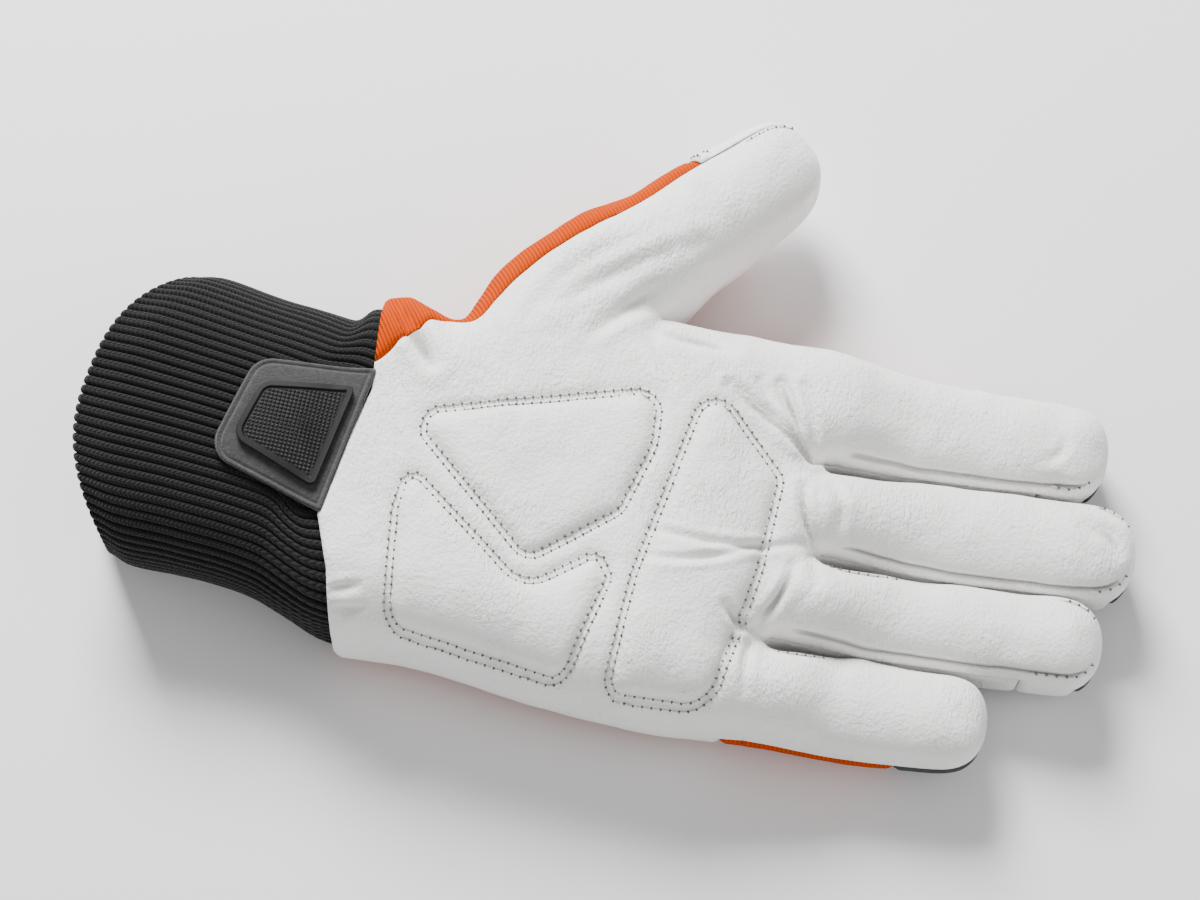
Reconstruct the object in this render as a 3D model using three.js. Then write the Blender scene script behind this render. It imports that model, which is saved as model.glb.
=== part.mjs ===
// A left work glove with a knitted cuff, lying on its back with the palm up.
// Millimetres. +X runs to the fingertips, +Y to the thumb, +Z up from the palm.
// The origin lies under the palm, in the flat that the glove rests on.

import * as THREE from "three";

// Driving sizes of the hand part
const PALM_LENGTH = 112;       // wrist hem to the finger crotches
const PALM_WIDTH = 108.5;      // across the middle of the palm
const PALM_THICKNESS = 43;     // back to front at the middle of the palm
const FINGER_THICKNESS = 26;
const THUMB_THICKNESS = 32;
const THUMB_LENGTH = 67;       // crotch to tip
const THUMB_WIDTH = 33;
const LITTLE_LENGTH = 62;
const RING_LENGTH = 83.5;
const MIDDLE_LENGTH = 86;
const INDEX_LENGTH = 79;
const FINGER_WIDTH = 27;
const KNUCKLES = 4.02;         // finger widths across the four finger roots
const FINGER_GAP = 3;          // between two fingers, near their crotch
const CROTCH_LENGTH = 6;       // over which the gap opens

// Walls and clearances
const LEATHER = 1.2;
const FABRIC = 1.2;
const KNIT = 2.8;              // two layers, folded over at the open end
const SEAM_GAP = 0.36;

// Driving sizes of the cuff, its tab and its badge
const CUFF_LENGTH = 64;
const CUFF_WIDTH = 82;
const CUFF_HEIGHT = 49;
const CUFF_LAP = 7;            // hidden inside the wrist
const CUFF_TURN = 11;          // degrees, from the palm's line towards the thumb
const TAB_LENGTH = 33;         // along its middle, out from the hem
const TAB_WIDTH = 40;          // along the hem
const TAB_THICKNESS = 1.5;
const TAB_TURN = 5;            // degrees, its open end towards the thumb
const BADGE_MARGIN = 5;        // of tab round the badge
const BADGE_THICKNESS = 1.6;

// Shares of the palm's length and width, which turns into the knuckles' width on the way up.
// A row is one line from the wrist to a finger crotch, from the little finger's side on.
const RAYS = [
  { hemX: -0.57, hemY: -0.395, crotchX: 0.411, crotchY: -0.498 },
  { hemX: -0.588, hemY: -0.262, crotchX: 0.438, crotchY: -0.272 },
  { hemX: -0.626, hemY: -0.13, crotchX: 0.540, crotchY: -0.051 },
  { hemX: -0.592, hemY: 0.050, crotchX: 0.531, crotchY: 0.189 },
  { hemX: -0.545, hemY: 0.200, crotchX: 0.509, crotchY: 0.502 },
];
const THUMB_CROTCH = { x: 0.12, y: 0.516 };

// The palm's edge below the little finger, by share of the way from the hem
const LITTLE_EDGE = [
  { way: 0, x: -0.57, y: -0.395 },
  { way: 0.2, x: -0.385, y: -0.4 },
  { way: 0.45, x: -0.089, y: -0.461 },
  { way: 0.7, x: 0.161, y: -0.497 },
  { way: 1, x: 0.411, y: -0.498 },
];

// The outer edge from the hem to the root of the thumb, with the bulge at the wrist
const THUMB_EDGE = [
  { way: 0, x: -0.554, y: 0.488 },
  { way: 0.18, x: -0.495, y: 0.498 },
  { way: 0.36, x: -0.429, y: 0.472 },
  { way: 0.49, x: -0.371, y: 0.463 },
  { way: 0.6, x: -0.339, y: 0.521 },
  { way: 0.76, x: -0.304, y: 0.59 },
  { way: 0.87, x: -0.25, y: 0.654 },
  { way: 1, x: -0.143, y: 0.747 },
];

// Fingers: turn in degrees from +X, widths as shares of the finger width
const FINGERS = [
  { name: "little", length: LITTLE_LENGTH, turn: -2, middle: 0.94, tip: 0.9, patch: 0.6 },
  { name: "ring", length: RING_LENGTH, turn: -1.4, middle: 0.89, tip: 0.88, patch: 0.68 },
  { name: "middle", length: MIDDLE_LENGTH, turn: -0.5, middle: 1, tip: 0.99, patch: 0.68 },
  { name: "index", length: INDEX_LENGTH, turn: -2.5, middle: 1.04, tip: 0.98, patch: 0.68 },
];
const THUMB = { turn: 42.2, middle: 1, tip: 0.86, cap: 0.53 };

// How thick the glove is, along X. front and back are the highest and lowest of the hand as
// shares of its thickness there, frontSeam and backSeam the levels where the side begins.
const THICKNESS = [
  { x: -0.62, front: 1.07, frontSeam: 0.62, backSeam: 0.32, back: 0 },
  { x: -0.36, front: 1.07, frontSeam: 0.6, backSeam: 0.3, back: 0 },
  { x: 0, front: 1, frontSeam: 0.57, backSeam: 0.3, back: 0 },
  { x: 0.27, front: 0.95, frontSeam: 0.55, backSeam: 0.28, back: 0 },
  { x: 0.45, front: 0.84, frontSeam: 0.5, backSeam: 0.24, back: 0 },
];
const FINGER_HEIGHTS = [
  { way: 0, front: 1.3, frontSeam: 0.78, backSeam: 0.36, back: 0 },
  { way: 0.22, front: 1.14, frontSeam: 0.7, backSeam: 0.33, back: 0 },
  { way: 0.55, front: 1.04, frontSeam: 0.68, backSeam: 0.33, back: 0 },
  { way: 1, front: 1.06, frontSeam: 0.72, backSeam: 0.42, back: 0.06 },
];
const THUMB_HEIGHTS = [
  { way: 0, front: 1.45, frontSeam: 0.88, backSeam: 0.56, back: 0.04 },
  { way: 0.45, front: 1.32, frontSeam: 0.88, backSeam: 0.6, back: 0.2 },
  { way: 1, front: 1.25, frontSeam: 0.88, backSeam: 0.66, back: 0.36 },
];

// Across the thumb side, from the crotch (-1) to the outer edge (1), where the seam between
// the palm leather and the back lies, first up the ball of the thumb and then up the thumb
const BALL_SEAM = [
  { way: 0, across: -0.5 },
  { way: 0.18, across: 0 },
  { way: 0.36, across: 0.42 },
  { way: 0.6, across: 0.5 },
  { way: 1, across: 0.56 },
];
const THUMB_SEAM = [
  { way: 0, across: 0.56 },
  { way: 0.5, across: 0.68 },
  { way: 1, across: 0.72 },
];

// Down a side, the share of it that the palm leather covers: below the little finger, on a
// finger's side towards the little finger, and on the thumb's side towards the fingers
const LITTLE_SIDE_SEAM = [
  { way: 0, down: 0.92 },
  { way: 0.5, down: 0.9 },
  { way: 0.75, down: 0.72 },
  { way: 1, down: 0.5 },
];
const FINGER_SIDE_SEAM = [
  { way: 0, down: 0.5 },
  { way: 0.5, down: 0.5 },
  { way: 0.75, down: 0.92 },
  { way: 0.9, down: 0.85 },
  { way: 1, down: 0.5 },
];
const THUMB_SIDE_SEAM = [
  { way: 0, down: 0.5 },
  { way: 0.2, down: 0.86 },
  { way: 0.8, down: 0.86 },
  { way: 1, down: 0.5 },
];

// Where the palm leather reaches round under the edge towards the little finger
const WRAP_END = 0.85;         // of the palm's edge
const FINGER_WRAP_END = 0.92;  // of a finger, from the end of the strip between fingers
const THUMB_WRAP_END = 0.86;   // of the thumb
const THUMB_WRAP_COLUMNS = 2;

// The cuff from the hem outwards, as shares of its length, width and height. side moves a
// section towards the thumb, swell is how far the middle of the open end stands out.
const CUFF = [
  { way: 0, side: -0.01, width: 1.1, bottom: 0.02, top: 0.9, swell: 0 },
  { way: 0.12, side: 0.0, width: 1.0, bottom: 0.02, top: 0.93, swell: 0 },
  { way: 0.3, side: 0.006, width: 0.97, bottom: 0.01, top: 0.96, swell: 0.01 },
  { way: 0.6, side: 0.004, width: 0.98, bottom: 0, top: 0.99, swell: 0.08 },
  { way: 0.85, side: 0, width: 1.0, bottom: 0, top: 1, swell: 0.18 },
  { way: 1, side: 0, width: 0.96, bottom: 0.02, top: 0.97, swell: 0.24 },
];
const CUFF_ROUNDNESS = 2.5;
const CUFF_SETTLE = 0.2;       // share of the cuff over which the hem's shape turns into its own

// The tab from the hem outwards: its two long edges, as shares of its width from the middle,
// towards the thumb and towards the little finger
const TAB = [
  { way: 0, left: 0.535, right: -0.505 },
  { way: 0.5, left: 0.485, right: -0.4 },
  { way: 0.86, left: 0.445, right: -0.325 },
  { way: 0.95, left: 0.41, right: -0.29 },
  { way: 1, left: 0.32, right: -0.2 },
];
const TAB_SLANT = 0.2;         // how much shorter it is for each step towards the thumb
const TAB_SIDE = 0.075;        // its middle at the hem, as a share of the cuff's width
const TAB_HEM = -0.575;        // the hem there, as a share of the palm's length
const TAB_ROWS = [0, 0.2, 0.4, 0.6, 0.8, 0.9, 0.96, 1];
const TAB_COLUMNS = 8;
const TAB_GAP = 0.6;           // between its inner end and the hem
const LAYER_GAP = 0.45;        // between the cuff, the tab and the badge

// How finely the surfaces are divided
const BALL_ROWS = 5;
const KNUCKLE_ROWS = 4;
const FINGER_ROWS = 9;
const THUMB_ROWS = 8;
const STRIP_COLUMNS = 6;
const SEAM_COLUMNS = 2;
const SIDE_COLUMNS = 2;
const CUFF_ROWS = 9;
const CUFF_COLUMNS = 62;

const THUMB_SHARE = 0.55;      // of the way up the palm, where the thumb leaves it
const PATCH_START = 0.8;       // share of a finger where the strips between fingers end

// Roundness of the outline at the tips and of a section, and how a digit's shape changes
// along it: the dome of its tip in widths, and the share over which it settles
const FINGER_TIP = { roundness: 2.35, dome: 0.475, settle: 0.45 };
const THUMB_TIP = { roundness: 2.2, dome: 0.575, settle: 0.35 };
const SECTION_ROUNDNESS = 2.2;
const TIP_WIDTH_FROM = 0.4;    // share of a digit where its width turns to that of the tip
const TIP_WIDTH_TO = 0.9;
const FINGER_HEIGHT_TO = 0.35; // share of a finger where its own heights apply in full

// The rounding over of the palm's edge, as a share of its width, and where it turns into the
// rounding of the fingers, as shares of the palm's length
const EDGE_ROUNDING = 0.19;
const KNUCKLES_FROM = 0.2;
const KNUCKLES_TO = 0.56;

// Where the palm turns into the thumb, as shares of its width
const THUMB_SIDE_FROM = 0.42;
const THUMB_SIDE_TO = 0.68;

const OUTLINE_STEPS = 28;      // along each line of the outline, to measure distances from it
const CROTCH_STEPS = 8;
const STEPS_IN_A_MM = 487;     // to which a point is rounded, to find the ones it shares

const clamp = THREE.MathUtils.clamp;
const lerp = THREE.MathUtils.lerp;
const smooth = (low, high, value) => THREE.MathUtils.smoothstep(value, low, high);

// A smooth curve through one column of a table, flat at both ends
function along(table, key, column, value) {
  const last = table.length - 1;
  const at = clamp(value, table[0][key], table[last][key]);
  let i = 0;
  while (i < last - 1 && at > table[i + 1][key]) i += 1;
  const slope = (n) => {
    if (n === 0 || n === last) return 0;
    return (table[n + 1][column] - table[n - 1][column]) / (table[n + 1][key] - table[n - 1][key]);
  };
  const step = table[i + 1][key] - table[i][key];
  const t = (at - table[i][key]) / step;
  const from = table[i][column] * (1 + 2 * t) * (1 - t) ** 2 + slope(i) * step * t * (1 - t) ** 2;
  const to = table[i + 1][column] * t * t * (3 - 2 * t) - slope(i + 1) * step * t * t * (1 - t);
  return from + to;
}

// A point from its shares; way is 0 at the hem and 1 at the finger crotches
function palmPoint(x, y, way) {
  return new THREE.Vector2(x * PALM_LENGTH, y * lerp(PALM_WIDTH, KNUCKLES * FINGER_WIDTH, way));
}

const crotches = RAYS.map((ray) => palmPoint(ray.crotchX, ray.crotchY, 1));
const thumbCrotch = palmPoint(THUMB_CROTCH.x, THUMB_CROTCH.y, THUMB_SHARE);

function edgePoint(table, way, span) {
  return palmPoint(along(table, "way", "x", way), along(table, "way", "y", way), way * span);
}
const thumbEdgePoint = (way) => edgePoint(THUMB_EDGE, way, THUMB_SHARE);
const thumbRoot = thumbEdgePoint(1);

// One of the five lines that run up the palm; way is 0 at the hem and 1 at the crotch
function rayPoint(ray, way) {
  if (ray === 0) return edgePoint(LITTLE_EDGE, way, 1);
  const hem = palmPoint(RAYS[ray].hemX, RAYS[ray].hemY, 0);
  if (ray < RAYS.length - 1) return hem.lerp(crotches[ray], way);
  if (way <= THUMB_SHARE) return hem.lerp(thumbCrotch, way / THUMB_SHARE);
  return thumbCrotch.clone().lerp(crotches[ray], (way - THUMB_SHARE) / (1 - THUMB_SHARE));
}

// A finger's outline narrows to nothing at the tip as a superellipse
function tipShare(way, roundness) {
  return (1 - clamp(way, 0, 1) ** roundness) ** (1 / roundness);
}

// A point of a finger's plan: way is 0 on the line between its crotches and 1 at its tip,
// across is -1 and 1 on its two edges
function digitPoint(shape, way, across) {
  const root = shape.near.clone().lerp(shape.far, (across + 1) / 2);
  const middle = shape.near.clone().lerp(shape.far, 0.5);
  const turn = THREE.MathUtils.degToRad(shape.turn);
  const ahead = new THREE.Vector2(Math.cos(turn), Math.sin(turn));
  const aside = new THREE.Vector2(-ahead.y, ahead.x);
  const start = root.clone().sub(middle).dot(ahead);
  const far = start + (shape.length - start) * way;
  const edge = across < 0 ? shape.near : shape.far;
  const rootWidth = Math.abs(edge.clone().sub(middle).dot(aside));
  const edgeStart = edge.clone().sub(middle).dot(ahead);
  const fromCrotch = Math.max(far - edgeStart, 0);
  const settled = smooth(0, shape.settle, fromCrotch / shape.length);
  const opened = tipShare(1 - fromCrotch / CROTCH_LENGTH, 2);
  const gap = (across < 0 ? shape.gapNear : shape.gapFar) * opened;
  let half = lerp(rootWidth - gap, shape.middle / 2, settled);
  half += (shape.tip - shape.middle) / 2 * smooth(TIP_WIDTH_FROM, TIP_WIDTH_TO, far / shape.length);
  const dome = shape.tip * shape.dome;
  half *= tipShare((far - shape.length + dome) / dome, shape.roundness);
  return middle.addScaledVector(ahead, far).addScaledVector(aside, half * across);
}

const digits = FINGERS.map((finger, n) => ({
  ...finger, near: crotches[n], far: crotches[n + 1], ...FINGER_TIP,
  gapNear: n > 0 ? FINGER_GAP / 2 : 0, gapFar: n < 3 ? FINGER_GAP / 2 : 0,
  middle: finger.middle * FINGER_WIDTH, tip: finger.tip * FINGER_WIDTH,
}));
digits.push({
  name: "thumb", near: thumbCrotch, far: thumbRoot, turn: THUMB.turn, length: THUMB_LENGTH,
  ...THUMB_TIP, gapNear: 0, gapFar: 0,
  middle: THUMB.middle * THUMB_WIDTH, tip: THUMB.tip * THUMB_WIDTH,
});
const thumb = digits[4];

// Shares at which the rows and columns of a surface lie
const evenly = (count) => Array.from({ length: count + 1 }, (_, n) => n / count);
const towardsTip = (count) => evenly(count).map((share) => Math.sin(share * Math.PI / 2));
const towardsEdges = (count) => evenly(count).map((share) => -Math.cos(share * Math.PI));

const palmRows = [
  ...evenly(BALL_ROWS).map((share) => share * THUMB_SHARE),
  ...evenly(KNUCKLE_ROWS).slice(1).map((share) => THUMB_SHARE + share * (1 - THUMB_SHARE)),
];

// Columns across the thumb side: to the seam, and on to the outer edge
function thumbColumns(seam) {
  const toSeam = evenly(STRIP_COLUMNS).map((share) => 1 - Math.cos(share * Math.PI / 2));
  return [
    ...toSeam.map((share) => lerp(-1, seam, share)),
    ...towardsTip(SEAM_COLUMNS).slice(1).map((share) => lerp(seam, 1, share)),
  ];
}

// The plan as grids of points: rows run to the fingertips, columns towards the thumb
function planGrids() {
  const grids = [];
  const columns = towardsEdges(STRIP_COLUMNS);
  for (let n = 0; n < FINGERS.length; n += 1) {
    const rows = palmRows.map((way) => columns.map((across) => {
      const point = rayPoint(n, way).lerp(rayPoint(n + 1, way), (across + 1) / 2);
      return { point, digit: n, way: 0, palmWay: way };
    }));
    for (const way of towardsTip(FINGER_ROWS).slice(1)) {
      rows.push(columns.map((across) => (
        { point: digitPoint(digits[n], way, across), digit: n, way, palmWay: 1 })));
    }
    grids.push(rows);
  }
  const ball = palmRows.slice(0, BALL_ROWS + 1).map((way) => {
    const share = way / THUMB_SHARE;
    return thumbColumns(along(BALL_SEAM, "way", "across", share)).map((across) => {
      const point = rayPoint(4, way).lerp(thumbEdgePoint(share), (across + 1) / 2);
      return { point, digit: 4, way: 0, palmWay: way };
    });
  });
  for (const way of towardsTip(THUMB_ROWS).slice(1)) {
    ball.push(thumbColumns(along(THUMB_SEAM, "way", "across", way)).map((across) => (
      { point: digitPoint(thumb, way, across), digit: 4, way, palmWay: 1 })));
  }
  grids.push(ball);
  return grids;
}

// The plan's outline, finely, for the distance of a point from it
function outlinePoints() {
  const fine = OUTLINE_STEPS;
  const points = evenly(fine).map((way) => rayPoint(0, way));
  for (const digit of digits.slice(0, 4)) {
    for (const way of towardsTip(fine)) points.push(digitPoint(digit, way, -1));
    for (const way of towardsTip(fine).reverse()) points.push(digitPoint(digit, way, 1));
  }
  for (const share of evenly(CROTCH_STEPS)) points.push(rayPoint(4, lerp(1, THUMB_SHARE, share)));
  for (const way of towardsTip(fine)) points.push(digitPoint(thumb, way, -1));
  for (const way of towardsTip(fine).reverse()) points.push(digitPoint(thumb, way, 1));
  for (const way of evenly(fine).reverse()) points.push(thumbEdgePoint(way));
  return points;
}
const outline = outlinePoints();

function distanceToOutline(point) {
  let nearest = Infinity;
  for (let n = 0; n < outline.length - 1; n += 1) {
    const side = outline[n + 1].clone().sub(outline[n]);
    const offset = point.clone().sub(outline[n]);
    const length = side.lengthSq();
    if (length > 0) offset.addScaledVector(side, -clamp(offset.dot(side) / length, 0, 1));
    nearest = Math.min(nearest, offset.lengthSq());
  }
  return Math.sqrt(nearest);
}

// How far a point has left the hand for the thumb
function thumbShare(place) {
  return place.digit < 3 ? 0 : smooth(THUMB_SIDE_FROM, THUMB_SIDE_TO, place.point.y / PALM_WIDTH);
}

// The four levels of the hand at a point of the plan. A point between hand and finger or
// between hand and thumb takes a share of each.
function levels(place) {
  const { point, digit, way } = place;
  const thumbMiddle = thumb.near.clone().lerp(thumb.far, 0.5);
  const thumbWay = clamp(point.distanceTo(thumbMiddle) / THUMB_LENGTH, 0, 1);
  const inFinger = digit === 4 ? 0 : smooth(0, FINGER_HEIGHT_TO, way);
  const found = {};
  for (const name of ["front", "frontSeam", "backSeam", "back"]) {
    const palm = PALM_THICKNESS * along(THICKNESS, "x", name, point.x / PALM_LENGTH);
    const onFinger = FINGER_THICKNESS * along(FINGER_HEIGHTS, "way", name, way);
    const onThumb = THUMB_THICKNESS * along(THUMB_HEIGHTS, "way", name, thumbWay);
    found[name] = lerp(lerp(palm, onThumb, thumbShare(place)), onFinger, inFinger);
  }
  return found;
}

// How far in from the outline the surface keeps rounding over
function roundingWidth(place) {
  const towards = smooth(KNUCKLES_FROM, KNUCKLES_TO, place.point.x / PALM_LENGTH);
  const hand = lerp(EDGE_ROUNDING * PALM_WIDTH, FINGER_WIDTH / 2, towards);
  return lerp(hand, THUMB_WIDTH / 2, thumbShare(place));
}

function surfacePoint(place, side) {
  const level = levels(place);
  const share = clamp(distanceToOutline(place.point) / roundingWidth(place), 0, 1);
  const rise = tipShare(1 - share, SECTION_ROUNDNESS);
  const z = side === "front"
    ? lerp(level.frontSeam, level.front, rise)
    : lerp(level.backSeam, level.back, rise);
  return new THREE.Vector3(place.point.x, place.point.y, z);
}

// The whole outer surface, as faces with the name of the piece that each belongs to
class Surface {
  constructor() {
    this.points = [];
    this.faces = [];
    this.known = new Map();
    this.upright = new Set();
  }

  add(point) {
    const key = point.toArray().map((value) => Math.round(value * STEPS_IN_A_MM)).join(" ");
    if (!this.known.has(key)) {
      this.known.set(key, this.points.length);
      this.points.push(point);
    }
    return this.known.get(key);
  }

  // Four corners in turn, seen from outside
  quad(corners, piece) {
    const ids = corners.map((corner) => this.add(corner)).filter((id, n, all) => all.indexOf(id) === n);
    if (ids.length === 4) {
      const [a, b, c, d] = ids.map((id) => this.points[id]);
      if (a.distanceTo(c) <= b.distanceTo(d)) {
        this.faces.push({ ids: [ids[0], ids[1], ids[2]], piece }, { ids: [ids[0], ids[2], ids[3]], piece });
      } else {
        this.faces.push({ ids: [ids[1], ids[2], ids[3]], piece }, { ids: [ids[1], ids[3], ids[0]], piece });
      }
    } else if (ids.length === 3) this.faces.push({ ids, piece });
  }
}

function frontPiece(digit, place) {
  return digit === 4 && place.column >= STRIP_COLUMNS ? backPiece(digit, place) : "palm";
}

// Whether the leather covers the edge towards the little finger down to the back
function wrapped(digit, place) {
  if (digit === 0) return place.palmWay < WRAP_END;
  if (place.palmWay < 1) return false;
  if (digit === 4) return place.way < THUMB_WRAP_END;
  return place.way > PATCH_START && place.way < FINGER_WRAP_END;
}

function backPiece(digit, place) {
  const columns = digit === 4 ? THUMB_WRAP_COLUMNS : 1;
  if (place.column < columns && wrapped(digit, place)) return "palm";
  if (digit === 4) return place.way >= THUMB.cap ? "thumb_cap" : "back";
  return place.way >= FINGERS[digit].patch ? `fingertip_patch_${FINGERS[digit].name}` : "back";
}

const STRIP_NAMES = ["little_ring", "ring_middle", "middle_index"];

// The piece on a side face: side is -1 on the edge towards the little finger and 1 on the other
function sidePiece(digit, side, place, upper) {
  if (digit === 4 && side > 0) return backPiece(digit, place);
  const strip = side < 0 ? digit - 1 : digit;
  const between = strip >= 0 && strip < STRIP_NAMES.length && digit < 4;
  if (between && place.way < PATCH_START) return `fourchette_${STRIP_NAMES[strip]}`;
  if (side < 0 && wrapped(digit, place)) return "palm";
  return upper ? "palm" : backPiece(digit, place);
}

function buildHand() {
  const surface = new Surface();
  const hem = { front: [], back: [] };
  planGrids().forEach((rows, digit) => {
    const lifted = { front: [], back: [] };
    for (const side of ["front", "back"]) {
      lifted[side] = rows.map((row) => row.map((place) => surfacePoint(place, side)));
      const skip = digit === 0 ? 0 : 1;
      hem[side].push(...lifted[side][0].slice(skip));
    }
    const last = rows[0].length - 1;
    for (let r = 0; r < rows.length - 1; r += 1) {
      const place = {
        way: (rows[r + 1][0].way + rows[r][0].way) / 2,
        palmWay: (rows[r + 1][0].palmWay + rows[r][0].palmWay) / 2,
      };
      for (let c = 0; c < last; c += 1) {
        const cell = { ...place, column: c };
        const f = lifted.front;
        const b = lifted.back;
        surface.quad([f[r][c], f[r + 1][c], f[r + 1][c + 1], f[r][c + 1]], frontPiece(digit, cell));
        surface.quad([b[r][c], b[r][c + 1], b[r + 1][c + 1], b[r + 1][c]], backPiece(digit, cell));
      }
      const inPalm = rows[r + 1][0].way === 0;
      const way = rows[r][0].palmWay;
      const free = { near: !inPalm || digit === 0, far: !inPalm || digit === 4 };
      if (digit === 3 && inPalm && way >= THUMB_SHARE - 0.001) free.far = true;
      for (const [name, c, side] of [["near", 0, -1], ["far", last, 1]]) {
        if (!free[name]) continue;
        const down = [r, r + 1].map((n) => sideLine(
          lifted.front[n][c], lifted.back[n][c], sideSeam(digit, side, rows[n][0])));
        for (let k = 0; k < 2 * SIDE_COLUMNS; k += 1) {
          const corners = [down[0][k], down[0][k + 1], down[1][k + 1], down[1][k]];
          if (side > 0) corners.reverse();
          surface.quad(corners, sidePiece(digit, side, place, k < SIDE_COLUMNS));
          for (const corner of corners) surface.upright.add(surface.add(corner));
        }
      }
    }
  });
  return { surface, hem };
}

// The share of the side that the upper piece covers
function sideSeam(digit, side, place) {
  if (side > 0) return 0.5;
  if (digit === 0) return along(LITTLE_SIDE_SEAM, "way", "down", place.palmWay);
  return along(digit < 4 ? FINGER_SIDE_SEAM : THUMB_SIDE_SEAM, "way", "down", place.way);
}

// Points straight down a side, from the front seam to the back seam
function sideLine(top, bottom, seam) {
  const shares = evenly(SIDE_COLUMNS);
  return [
    ...shares.map((share) => top.clone().lerp(bottom, share * seam)),
    ...shares.slice(1).map((share) => top.clone().lerp(bottom, lerp(seam, 1, share))),
  ];
}

// The outward direction at each point, from the faces round it
function outwardDirections(points, faces) {
  const found = points.map(() => new THREE.Vector3());
  for (const { ids } of faces) {
    const [a, b, c] = ids.map((id) => points[id]);
    const ab = b.clone().sub(a);
    const ac = c.clone().sub(a);
    const bc = c.clone().sub(b);
    const normal = ab.clone().cross(ac).normalize();
    found[ids[0]].addScaledVector(normal, ab.angleTo(ac));
    found[ids[1]].addScaledVector(normal, bc.angleTo(ab.clone().negate()));
    found[ids[2]].addScaledVector(normal, ac.angleTo(bc));
  }
  return found.map((normal) => normal.normalize());
}

// Edges that only one face has, each with the direction along the surface into the piece
function openEdges(points, faces) {
  const count = new Map();
  for (const { ids } of faces) {
    ids.forEach((id, n) => count.set(`${id} ${ids[(n + 1) % 3]}`, [id, ids[(n + 1) % 3], ids[(n + 2) % 3]]));
  }
  const edges = [];
  for (const [start, end, third] of count.values()) {
    if (count.has(`${end} ${start}`)) continue;
    const side = points[end].clone().sub(points[start]).normalize();
    const inward = points[third].clone().sub(points[start]);
    inward.addScaledVector(side, -inward.dot(side)).normalize();
    edges.push({ start, end, inward });
  }
  return edges;
}

// A closed wall: the faces as its outer skin, drawn in by half the seam gap at their edges,
// an inner skin one thickness further in, and a rim between the two
function wall(points, normals, faces, thickness, gap) {
  const edges = openEdges(points, faces);
  const used = [...new Set(faces.flatMap((face) => face.ids))];
  const index = new Map(used.map((id, n) => [id, n]));
  const drawn = new Map();
  for (const { start, end, inward } of edges) {
    for (const id of [start, end]) {
      if (!drawn.has(id)) drawn.set(id, []);
      drawn.get(id).push(inward);
    }
  }
  const outer = used.map((id) => {
    const point = points[id].clone();
    if (!drawn.has(id)) return point;
    const way = drawn.get(id).reduce((sum, inward) => sum.add(inward), new THREE.Vector3());
    const share = Math.max(way.length() / drawn.get(id).length, 0.5);
    return point.addScaledVector(way.normalize(), gap / 2 / share);
  });
  const inner = outer.map((point, n) => point.clone().addScaledVector(normals[used[n]], -thickness));
  const triangles = [];
  for (const { ids } of faces) {
    const [a, b, c] = ids.map((id) => index.get(id));
    triangles.push([a, b, c], [c + used.length, b + used.length, a + used.length]);
  }
  for (const { start, end } of edges) {
    const [a, b] = [index.get(start), index.get(end)];
    triangles.push([b, a, a + used.length], [b, a + used.length, b + used.length]);
  }
  return geometryOf([...outer, ...inner], triangles);
}

function geometryOf(points, triangles) {
  const geometry = new THREE.BufferGeometry();
  const position = new Float32Array(points.flatMap((point) => point.toArray()));
  geometry.setAttribute("position", new THREE.BufferAttribute(position, 3));
  geometry.setIndex(triangles.flat());
  geometry.computeVertexNormals();
  return geometry;
}

const { surface, hem } = buildHand();
const handNormals = outwardDirections(surface.points, surface.faces);
for (const id of surface.upright) handNormals[id].setZ(0).normalize();

// The hem as one loop: up the back, over the front and down again, seen from the open end
function hemLoop() {
  const front = hem.front;
  const back = [...hem.back].reverse();
  const far = sideLine(front[front.length - 1], back[0], 0.5).slice(1, -1);
  const seam = LITTLE_SIDE_SEAM[0].down;
  const near = sideLine(front[0], back[back.length - 1], seam).slice(1, -1).reverse();
  return [...front, ...far, ...back, ...near];
}

// Points at equal steps along a closed line
function evenlyRound(line, count) {
  const path = new THREE.CurvePath();
  line.forEach((point, n) => path.add(new THREE.LineCurve3(point, line[(n + 1) % line.length])));
  return path.getSpacedPoints(count).slice(0, count);
}

// The cuff's outer surface. way is 0 at the hem and 1 at the open end, below 0 inside the
// wrist; n numbers the points round the hem.
const loop = evenlyRound(hemLoop(), CUFF_COLUMNS);
const loopMiddle = new THREE.Box3().setFromPoints(loop).getCenter(new THREE.Vector3());
const cuffTurn = THREE.MathUtils.degToRad(CUFF_TURN);
const cuffAxis = new THREE.Vector3(-Math.cos(cuffTurn), Math.sin(cuffTurn), 0);
const cuffAside = new THREE.Vector3(Math.sin(cuffTurn), Math.cos(cuffTurn), 0);

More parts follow.
